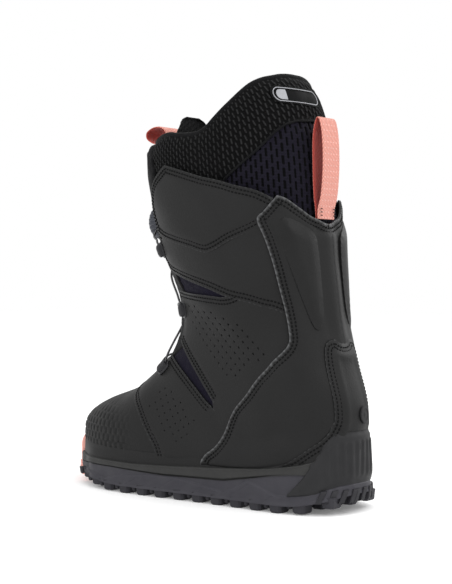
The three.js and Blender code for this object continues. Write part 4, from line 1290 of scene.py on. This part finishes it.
def toe_slim(loop, depth):
    """How far the wall steps back under the pink toe piece."""
    f = loop[:, 1]
    return depth * smooth(214, 240, f) * smooth(268, 258, f) * smooth(-14, -4, loop[:, 0])


def add_wall(pile, loop, normal, low, high, bulge, wall=4., closed=True, rows=30):
    """Adds a band round the sole from low to high, which bulges outward in mm by place and height share."""
    f = loop[:, 1]
    t = np.linspace(0, 1, rows)[:, None]
    z = low * (1 - t) + high * t
    out, fields = bulge(loop, t, z)
    lean_x, lean_y = heel_lean(loop, z)
    x = loop[:, 0] + normal[:, 0] * out + lean_x
    y = f + normal[:, 1] * out + lean_y
    inner = place(x - normal[:, 0] * wall, y - normal[:, 1] * wall, z)
    vertices, faces = shell_from_grids(place(x, y, z), inner, closed)
    for key, values in fields.items():
        fields[key] = np.concatenate([np.broadcast_to(values, z.shape).ravel(), np.zeros(z.size)])
    pile.add(vertices, faces, **fields)


def side_relief(loop, t, z):
    """Sculpted lower wall: a mountain-line ridge, faceted faces and thin creases."""
    f = loop[:, 1]
    ridge = np.interp(f, *RIDGE)
    below = smooth(ridge + .7, ridge - .7, z)
    run = run_along(loop)[None, :]
    slant = np.mod((run + z * 1.7) / 31, 1)
    facet = .9 * np.abs(slant - .5)
    crease = smooth(.035, .0, np.abs(slant - .5)) * below
    lip = .5 * smooth(.16, .02, t)
    scallop = .8 * (.5 + .5 * np.cos(2 * np.pi * (f - LUG_START) / LUG_PITCH)) * smooth(.34, .0, t)
    out = -.7 + 1.4 * below - facet * below + lip - .35 * crease + scallop - toe_slim(loop, 4.)
    # Lighter along the ridge line and the thin creases; the top of the wall, under the grey band, gets painted
    # shade.
    wear = .5 * smooth(.7, 0, np.abs(z - ridge)) + .5 * crease
    return out, {"wear": np.clip(wear, 0, 1) * .5, "crease": .5 * smooth(.93, 1, t)}


def band_relief(loop, t, z):
    """The grey band: a groove along its foot that fades at the heel, and a lip at its top."""
    groove = smooth(.22, .04, t) * smooth(24, 60, loop[:, 1])
    lip = .5 * smooth(.7, .9, t) * smooth(1.0, .95, t)
    out = .2 + lip - 1.5 * groove - toe_slim(loop, 3.2) - .9 * smooth(.93, 1., t)
    # The lip is lighter; the groove along the band's foot gets painted shade.
    return out, {"wear": .5 * lip, "crease": groove * .8}


def lug_body(x, f, width, length, foot, root, slant=0.):
    """A chamfered, tapered lug. Its corners are clipped and its walls lean."""
    rings = []
    for height, grow in ((0, -1.5), (.9, -.7), (root - foot, 0.)):
        w, h = width / 2 + grow, length / 2 + grow * .9
        cut = min(w, h) * .35
        shape = np.array([(-w + cut, -h), (w - cut, -h), (w, -h + cut), (w, h - cut),
                          (w - cut, h), (-w + cut, h), (-w, h - cut), (-w, -h + cut)])
        rings.append(place(x + shape[:, 0] + shape[:, 1] * slant, f + shape[:, 1], np.full(8, foot + height)))
    faces = grid_faces(3, 8, True) + [tuple(reversed(range(8))), tuple(range(16, 24))]
    return np.vstack(rings), faces


def lug_row(pile, f, inset, sink=1.):
    """One row of lugs across the sole, with small ones half a pitch ahead along its edges."""
    outer, inner = sole_edge(f, 1) - inset, sole_edge(f, -1) + inset
    middle, span = (outer + inner) / 2, outer - inner
    edge = min(13, span * .3)
    foot = spring(f) * sink
    root = foot + LUG_DEPTH + 2.5
    spots = [(outer - edge / 2 + .9, edge, .12), (inner + edge / 2 - .9, edge, -.12)]
    if span < 60:
        spots.append((middle, span * .2, 0))
    else:
        spots += [(middle - span * .12, span * .16, -.15), (middle + span * .12, span * .16, .15)]
    for x, width, slant in spots:
        # Lugs are darkened as painted shade on the sole's underside.
        pile.add(*lug_body(x, f, width, LUG_LENGTH, foot, root, slant), wear=.0, crease=.35)
    for x, width in ((outer - 4, 7), (inner + 4, 7)) if f < 236 else ():
        pile.add(*lug_body(x, f + LUG_PITCH / 2, width, 4.2, foot + 2.0, root), wear=0, crease=.35)


def slab(pile, low, high):
    """The flat inside of a sole layer, just within its walls."""
    f, inset = np.linspace(3, 262, 40), 3.
    outer, inner = sole_edge(f, 1) - inset, sole_edge(f, -1) + inset
    under, over = (np.stack([place(outer, f, z), place(inner, f, z)], 1) for z in (low(f), high(f)))
    # Painted shade on the hidden flat inside.
    pile.add(*shell_from_grids(over, under), wear=0., crease=.5)


def underside(f):
    return LUG_DEPTH + .2 + spring(f)


def crease_line(f):
    return np.maximum(np.interp(f, *CREASE), underside(f) + 3)


def feather_line(f):
    return np.maximum(np.interp(f, *FEATHER), crease_line(f) + 2.5)


def make_sole():
    loop, normal = sole_outline()
    low, middle, high = (line(loop[:, 1]) for line in (underside, crease_line, feather_line))
    side = Pile()
    add_wall(side, loop, normal, low, middle, side_relief, rows=34)
    slab(side, lambda f: underside(f) + .1, lambda f: crease_line(f) - .5)
    for k in range(int((TOE_PIECE_START - 16) / LUG_PITCH) + 1):
        f = LUG_START + k * LUG_PITCH
        lug_row(side, f, max(0., (f - 196) * .12))
    heel_lugs(side, loop, normal)
    on(side.piece("outsole_detail", RUBBER, 35), ROOT, "rubber", "outsole")
    band = Pile()
    add_wall(band, loop, normal, middle, high, band_relief)
    slab(band, crease_line, lambda f: np.minimum(feather_line(f), 27) - 1.2)
    on(band.piece("midsole_band", BAND, 40), ROOT, "sole_foam", "midsole", "shank", "lasting_board")
    make_welt(loop, normal, high - 1.2)
    make_toe_rubber(loop, normal)
    make_heel_wrap(loop, normal)


def heel_lugs(pile, loop, normal):
    """Small slanted studs climbing the back of the heel."""
    for k in range(0, len(loop), 8):
        if loop[k, 1] > 13:
            continue
        out = np.array((normal[k, 0], -normal[k, 1], 0.))
        along = np.array((-out[1], out[0], 0.))
        up = np.array((0, 0, 1.)) + along * .5
        centre = place(loop[k, 0], loop[k, 1], 12.5) + out * .3 * MM
        corners = []
        for depth, grow in ((-1, 1.), (1.0, .92), (1.5, .7)):
            for a, b in ((-1, -1), (1, -1), (1, 1), (-1, 1)):
                corners.append(centre + (out * depth + (along * a * 2.3 + up * b * 4.6) * grow) * MM)
        faces = grid_faces(3, 4, True) + [(3, 2, 1, 0), (8, 9, 10, 11)]
        # The studs are darkened as painted shade.
        pile.add(np.array(corners), faces, wear=0., crease=.75)


def make_welt(loop, normal, low):
    """Leather below the lasted corner, down to the grey band."""
    f = loop[:, 1]
    meet = smoothed(upper_near(np.stack([loop[:, 0], f, np.maximum(low + 1, 27.) + 5.], -1), .5), 8)
    back = 1.0 + toe_slim(loop, 3.2)
    start = np.stack([loop[:, 0] - normal[:, 0] * back, f - normal[:, 1] * back, low], -1)
    shift = smooth(30, 14, f)[:, None]
    start[:, :2] = start[:, :2] * (1 - shift) + meet[:, :2] * shift
    control = np.stack([start[:, 0], start[:, 1], np.maximum(meet[:, 2] - 3, low)], -1)
    t = np.linspace(0, 1, 16)[:, None, None]
    curve = start * (1 - t) ** 2 + 2 * control * t * (1 - t) + meet * t ** 2
    top = place(curve[..., 0], curve[..., 1], curve[..., 2])
    inner = curve - np.stack([normal[:, 0], normal[:, 1], 0 * f], -1)[None] * 2.5
    vertices, faces = shell_from_grids(top, place(inner[..., 0], inner[..., 1], inner[..., 2]), True)
    on(mesh_piece("lasting_margin", vertices, faces, LEATHER), ROOT, "leather")


def make_toe_rubber(loop, normal):
    """Pink toe piece: front lugs and the rand that wraps up over the inner side of the tip."""
    pile = Pile()
    for f in (TOE_PIECE_START + 3, 254.):
        lug_row(pile, f, 5., .62)
    at_tip = np.argmin(np.hypot(loop[:, 0] - 17, loop[:, 1] - 251))
    at_side = np.argmin(np.hypot(loop[:, 0] + 54, loop[:, 1] - 241))
    part, part_normal = loop[at_tip:at_side], normal[at_tip:at_side]
    share = np.linspace(0, 1, len(part))
    rise = np.interp(share, [0, .1, .25, .42, .55, .7, .85, 1], [25, 32, 37, 40, 39, 36, 33, 30])

    def relief(part, t, z):
        tip = smooth(.0, .06, share) * smooth(1, .94, share)
        ribs = .25 * (np.sin(share * 90) > .2) * smooth(.1, .2, t) * smooth(.9, .8, t)
        return (1.3 + ribs - smooth(.9, 1, t)) * tip - 2.6 * smooth(-14, -2, part[:, 0]), {}

    pile.fields.clear()
    add_wall(pile, part, part_normal, LUG_DEPTH + spring(part[:, 1]), rise, relief, 3., False, 26)
    on(pile.piece("toe_rubber_detail", PINK_RUBBER, 40), ROOT, "rubber_toe", "outsole_toe")


def make_heel_wrap(loop, normal):
    """Rubber heel cup with upright ribs that stands just proud of the band."""
    order = np.roll(np.arange(len(loop)), len(loop) // 2)
    cup = order[loop[order, 1] < 34]
    part, part_normal = loop[cup], normal[cup]
    f = part[:, 1]
    run = run_along(part)
    share = run / run[-1]
    sweep = np.interp(f, [17, 21, 27, 34], [34.2, 27, 20, 12.6])
    tops = np.where(f < 17, np.interp(f, *FEATHER) + .6, sweep)
    bottoms = 12 + 8 * smooth(16, 2, f)

    def ribs(part, t, z):
        wave = .5 + .5 * np.cos(2 * np.pi * run / 6.0)
        rim = smooth(1., .9, t) * smooth(0, .2, t) * smooth(0, .01, share) * smooth(1, .99, share)
        rib = .7 * smooth(.4, .75, wave) * smooth(.86, .78, t) * smooth(.05, .3, t) * smooth(16, 9, f)
        return -.3 + (1.6 + rib) * rim, {}

    pile = Pile()
    add_wall(pile, part, part_normal, bottoms, tops, ribs, 2., False, 40)
    on(pile.piece("heel_wrap_shell", WRAP, 45), ROOT, "rubber", "heel_wrap")


def make_badge():
    """The small plain badge above the heel cup."""
    centre, out = skin(12.0, -5., 4.2), outward(12.0, -5.)
    side_way = unit(np.cross((0, 0, 1), out))
    up = np.cross(out, side_way)
    profile = [(6.0, 0), (5.9, .9), (5.3, 1.15), (4.4, 1.15), (4.1, .8), (1.6, .8), (1.2, 1.1), (.2, 1.15)]
    rings = [[centre + (side_way * math.cos(a) + up * math.sin(a)) * r * MM + out * h * MM
              for a in np.linspace(0, 2 * math.pi, 32, endpoint=False)] for r, h in profile]
    faces = grid_faces(len(rings), 32, True) + [tuple(reversed(range(32))), tuple(range(7 * 32, 8 * 32))]
    on(mesh_piece("heel_badge_disc", np.vstack(rings), faces, WRAP, None, 40), ROOT, "rubber", "heel_badge")


# Webbing loops.
def make_loop(name, outline, body, node):
    """A woven tape loop, from the side view of its outer face in f and z."""
    path = spline(outline, 14)
    path = resample(path, path, .6)
    tangent = unit(np.gradient(path, axis=0))
    normal = np.stack([-tangent[:, 1], tangent[:, 0]], -1)
    middle = path.mean(0)
    if np.sum((path[len(path) // 2] - middle) * normal[len(path) // 2]) < 0:
        normal = -normal
    width, thick = 20., 1.2
    across = np.linspace(-width / 2, width / 2, 41)
    run = run_along(path)
    grids = []
    for depth, sign in ((0, 1), (thick, -1)):
        rib = .10 * np.sin(2 * np.pi * (run[:, None] + .55 * across[None, :]) / 1.6)
        roll = .45 * smooth(1.0, 0, width / 2 - np.abs(across))[None, :]
        drop = depth + sign * (roll - rib)
        f = path[:, 0][:, None] - normal[:, 0][:, None] * drop
        z = path[:, 1][:, None] - normal[:, 1][:, None] * drop
        x = np.broadcast_to(across[None, :], f.shape)
        grids.append(place(x, f, z))
    vertices, faces = shell_from_grids(*grids)
    # flat z is 1 on the inner face, which the tape's material paints as shade.
    x, y = np.broadcast_arrays(across[None, :] * MM, run[:, None] * MM)
    sides = [np.stack([x, y, np.full_like(x, inner)], -1).reshape(-1, 3) for inner in (0, 1)]
    on(mesh_piece(name, vertices, faces, WEBBING, {"flat": np.concatenate(sides)}), body, "webbing", node)


def make_loops():
    rear = [(27.9, 199), (27.6, 206), (25, 216), (23.5, 235), (24, 254), (26, 265.5), (28.5, 268.8), (31, 266),
            (33, 255), (33, 235), (32.2, 216), (30.9, 206), (30.4, 199)]
    front = [(171, 258.4), (167, 258.8), (166, 263), (167.3, 269), (172.5, 272.3), (180, 272.3), (186.4, 269),
             (186.6, 264), (182, 260.6), (177, 259.2), (171.4, 258.5)]
    make_loop("rear_loop_tape", rear, "rear_loop", "rear_pull_loop")
    make_loop("front_loop_tape", front, "front_loop", "front_pull_loop")
    tab = Pile()
    for dx in (-7.5, 7.5):
        for dz in np.arange(201.5, 207, 2.2):
            centre = place(dx, 26.6, dz)
            tab.add(*capsule(centre, np.array((1., 0, 0)), np.array((0, 1., 0)), .0022, .0004))
    on(tab.piece("loop_tack_stitches", THREAD), "rear_loop", "webbing")


# Closure.
GUIDES = {"flap": (13.65, 137, .8), "ankle": (10.9, 137, .8), "vamp": (8.1, 138, 1.3)}
DIAL_F, DIAL_Z = 168.9, 201.
LACE_DIAMETER = 1.6
RIB_DEPTH = .9


def dial_point(x, rise, forward):
    return place(x, DIAL_F + forward, DIAL_Z + rise)


def lace_points():
    """The lace's route, as the CAD has it: dial, flap, ankle and vamp guides, and back."""
    def spot(v, degrees, offset, sign):
        return skin(v, degrees if sign > 0 else 360 - degrees, offset)

    def turn(guide, sign, way):
        v, degrees, _ = guide
        steps = ((.22, 12, 2.8), (.22, 6, 3), (.14, 1.5, 3), (0, 0, 3), (-.14, 1.5, 3), (-.22, 6, 3),
                 (-.22, 12, 2.8))
        return [spot(v + rise * way, degrees + more, offset, sign) for rise, more, offset in steps]

    def cross(a, b, sign, offset, way):
        start, end = a[0] - .25 * way, b[0] + .25 * way
        return [spot(start + (end - start) * (k + 1) / 4, degrees, offset, sign)
                for k, degrees in enumerate((160, 180, 200))]

    flap, ankle, vamp = GUIDES["flap"], GUIDES["ankle"], GUIDES["vamp"]
    return np.array([
        dial_point(10.2, -3, 2.6), dial_point(14, -6, 2.6), dial_point(20, -11, .5),
        *turn(flap, 1, 1), *cross(flap, ankle, 1, 1.6, 1),
        *turn(ankle, -1, 1), *cross(ankle, vamp, -1, 1.6, 1),
        *turn(vamp, 1, 1), spot(vamp[0] - .22, 165, 2.2, 1), spot(vamp[0] - .22, 165, 2.2, -1),
        *turn(vamp, -1, -1), *cross(vamp, ankle, -1, 4.4, -1),
        *turn(ankle, 1, -1), *cross(ankle, flap, 1, 4.4, -1),
        *turn(flap, -1, -1), dial_point(-20, -11, .5), dial_point(-14, -6, 2.6), dial_point(-10.2, -3, 2.6),
    ])


def centripetal(points, count=10):
    """A curve through points that doesn't overshoot where they bunch up."""
    padded = np.vstack([2 * points[0] - points[1], points, 2 * points[-1] - points[-2]])
    runs = []
    for a, b, c, d in zip(padded, padded[1:], padded[2:], padded[3:]):
        t0, t1 = 0., np.linalg.norm(b - a) ** .5
        t2 = t1 + np.linalg.norm(c - b) ** .5
        t3 = t2 + np.linalg.norm(d - c) ** .5
        t = np.linspace(t1, t2, count, endpoint=False)[:, None]
        a1 = (t1 - t) / (t1 - t0) * a + (t - t0) / (t1 - t0) * b
        a2 = (t2 - t) / (t2 - t1) * b + (t - t1) / (t2 - t1) * c
        a3 = (t3 - t) / (t3 - t2) * c + (t - t2) / (t3 - t2) * d
        b1 = (t2 - t) / (t2 - t0) * a1 + (t - t0) / (t2 - t0) * a2
        b2 = (t3 - t) / (t3 - t1) * a2 + (t - t1) / (t3 - t1) * a3
        runs.append((t2 - t) / (t2 - t1) * b1 + (t - t1) / (t2 - t1) * b2)
    return np.vstack([*runs, points[-1:]])


def make_lace():
    path = centripetal(lace_points())
    path = resample(path, path, .7 * MM)
    sides = 12
    vertices, faces = tube(path, LACE_DIAMETER / 2 * MM, sides)
    run = run_along(path)
    along = np.repeat(run, sides)
    turn = np.tile(np.arange(sides) / sides * 2.333, len(path))
    fields = {"flat": np.stack([along, turn, np.zeros_like(along)], -1)}
    piece = mesh_piece("lace_cord", vertices, faces, CABLE, fields)
    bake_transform(piece)
    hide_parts("lace")


def make_guide(name, sign):
    """A low moulded arch that the lace turns in, riveted to its panel."""
    v, degrees, seat_height = GUIDES[name]
    degrees = sign * (degrees + 2) % 360
    seat, normal = skin(v, degrees, seat_height), outward(v, degrees)
    climb = unit(jacobian(v, degrees)[0])
    side = np.cross(climb, normal)
    pile = Pile()
    count = 32
    c, s = np.cos(2 * math.pi * np.arange(count) / count), np.sin(2 * math.pi * np.arange(count) / count)
    square_x, square_y = (np.copysign(np.abs(k) ** .5, k)[:, None] for k in (c, s))

    def body(half_x, half_y, low, high, bevel):
        rings = []
        for height, grow in ((low, 0), (high - bevel, 0), (high - bevel * .4, -bevel * .35), (high, -bevel)):
            x, y = square_x * (half_x + grow), square_y * (half_y + grow)
            rings.append(seat + (side * x + climb * y + normal * height) * MM)
        faces = grid_faces(4, count, True) + [tuple(reversed(range(count))), tuple(range(3 * count, 4 * count))]
        pile.add(np.vstack(rings), faces)

    body(4.2, 6.0, -.4, 1.0, .5)
    body(3.1, 4.8, 0, 4.1, 1.3)
    body(1.1, 2.8, 3.9, 4.4, .3)
    label = name + ("_lateral" if sign > 0 else "_medial")
    rides_on = CUFF if name == "flap" else ROOT
    on(pile.piece("guide_" + label, PLASTIC, 35), rides_on, "plastic", "lace_guide_" + label)


def turned(name, profile, material, segments=96, ribs=0):
    """A turned piece on the dial's axis, with grip ribs on its rim if it has any."""
    angles = np.linspace(0, 2 * math.pi, segments, endpoint=False)
    rings = []
    for radius, height in profile:
        r = np.full(segments, float(radius))
        if ribs and 5.6 <= height <= 12.75 and radius > 10:
            r = r - RIB_DEPTH * (.5 + .5 * np.cos(ribs * angles)) ** 2
        rings.append(place(r * np.cos(angles), np.full(segments, DIAL_F + height), DIAL_Z + r * np.sin(angles)))
    vertices = np.vstack(rings)
    faces = grid_faces(len(profile), segments, True)
    faces += [tuple(reversed(range(segments))), tuple(range(len(vertices) - segments, len(vertices)))]
    return mesh_piece(name, vertices, faces, material, None, 38)


def make_dial():
    housing = [(3, -2.6), (15.2, -2.6), (16.2, -1.8), (16.4, .2), (15.6, 1.2), (13.9, 1.6), (13.2, 2.6),
               (13.2, 4.6), (12.8, 5.0), (11.8, 5.0), (11.6, 4.6), (11.6, 1.7), (2.2, 1.7)]
    on(turned("dial_base", housing, PLASTIC), CUFF, "plastic", "dial_housing")
    knob = [(2.2, 7.0), (11.4, 7.0), (11.6, 5.5), (12.6, 5.4), (13.2, 5.8), (13.4, 6.6), (13.4, 8.4),
            (13.4, 10.4), (13.2, 11.8), (12.6, 12.7), (11.8, 13.2), (10.6, 13.35), (9.9, 13.1), (9.6, 12.6),
            (7.2, 12.5), (6.9, 12.9), (5.2, 13.3), (4.7, 13.2), (4.55, 12.8), (4.55, 8.8), (2.2, 8.8)]
    on(turned("dial_grip", knob, DIAL_PLASTIC, 144, 24), "knob", "plastic", "dial_knob")


def make_footbed():
    """Cushioned footbed with a woven top."""
    f = np.linspace(30, 236, 110)[:, None]
    inset = 13.
    t = np.linspace(0, 1, 40)[None, :]
    x = (sole_edge(f, 1) - inset) * (1 - t) + (sole_edge(f, -1) + inset) * t
    cup = 5.5 * np.abs(2 * t - 1) ** 3 * smooth(120, 50, f) + 2.0 * np.abs(2 * t - 1) ** 4
    arch = 3.5 * np.exp(-(((f - 110) / 34) ** 2)) * smooth(.45, 1, t)
    z = 42.4 + cup + arch + 4 * smooth(190, 236, f)
    y = np.broadcast_to(f, x.shape)
    shape = smooth(30, 56, f) ** .4 * smooth(236, 202, f) ** .4
    x = x * (.35 + .65 * shape) - 8 * (1 - shape) * (f > 130)
    vertices, faces = shell_from_grids(place(x, y, z), place(x, y, z - 2.6))
    on(mesh_piece("footbed_cushion", vertices, faces, LINING), ROOT, "board", "footbed")


def make_upper():
    make_toe_cap()
    make_stretch()
    make_tongue()
    make_vamp()
    for side, turn in (("lateral", list), ("medial", mirrored)):
        make_ankle(side, turn)
        make_flaps(side, turn)
        make_backstay(side, turn)
    make_heel_stay()
    make_badge()
    on(STITCHES["root"].piece("stitching_foot", THREAD), ROOT, "leather")
    on(STITCHES["cuff"].piece("stitching_cuff", THREAD), CUFF, "leather")
    across_ankle(STITCHES["ankle"].piece("stitching_backstay", THREAD), "leather")


def make_liner():
    make_collar()
    make_mesh_panel()
    make_liner_body()
    make_bindings()
    make_liner_tongue()
    make_label()
    make_footbed()


def make_closure():
    make_lace()
    for name in GUIDES:
        for sign in (1, -1):
            make_guide(name, sign)
    make_dial()


def finish_cad_nodes():
    """Materials for the CAD pieces that stay."""
    looks = {"dial_screw": STEEL, "dial_spool": STEEL, "dial_pawl_ring": PLASTIC, "heel_counter": BOARD}
    for name, look in looks.items():
        node = frame["nodes"][name]
        node.data.materials.clear()
        node.data.materials.append(look)


def area_light(name, position, size, power):
    data = bpy.data.lights.new(name, "AREA")
    data.energy = power
    data.size = size
    light = bpy.data.objects.new(name, data)
    light.location = position
    middle = Vector((0, 0, .14))
    light.rotation_euler = (middle - Vector(position)).to_track_quat("-Z", "Y").to_euler()
    bpy.context.scene.collection.objects.link(light)


def make_stage():
    floor = bpy.data.meshes.new("floor")
    floor.from_pydata([(-4, -4, 0), (4, -4, 0), (4, 4, 0), (-4, 4, 0)], [], [(0, 1, 2, 3)])
    n = Nodes("pale_floor")
    n.colour(n.mix(n.noise(3, 2), (.86, .86, .86), (.9, .9, .9)))
    n.set(roughness=.9, specular_ior_level=0., emission_strength=.12)
    n.shader.inputs["Emission Color"].default_value = (1, 1, 1, 1)
    floor.materials.append(n.material)
    piece = bpy.data.objects.new("floor", floor)
    bpy.context.scene.collection.objects.link(piece)
    world = bpy.data.worlds.new("studio")
    world.use_nodes = True
    world.node_tree.nodes["Background"].inputs[0].default_value = (1, 1, 1, 1)
    bpy.context.scene.world = world
    bpy.context.scene.view_settings.view_transform = "Standard"
    area_light("key", (.2, 1.3, 1.1), 1.2, 9)
    area_light("side", (1.5, -.3, .9), 1.0, 6.5)
    area_light("rim", (-1.2, .5, .9), .9, 7)
    area_light("top", (0, 0, 1.7), 1.4, 6)


def make_camera():
    data = bpy.data.cameras.new("camera")
    data.lens = 80
    data.shift_y = .0137
    camera = bpy.data.objects.new("camera", data)
    azimuth, elevation, distance = math.radians(129), math.radians(1), .95
    back = Vector((math.sin(azimuth) * math.cos(elevation), -math.cos(azimuth) * math.cos(elevation),
                   math.sin(elevation)))
    target = Vector((0, .016, .1425))
    camera.location = target + back * distance
    camera.rotation_euler = (-back).to_track_quat("-Z", "Y").to_euler()
    bpy.context.scene.collection.objects.link(camera)
    bpy.context.scene.camera = camera


make_camera()
make_stage()
make_sole()
make_upper()
make_liner()
make_loops()
make_closure()
finish_cad_nodes()
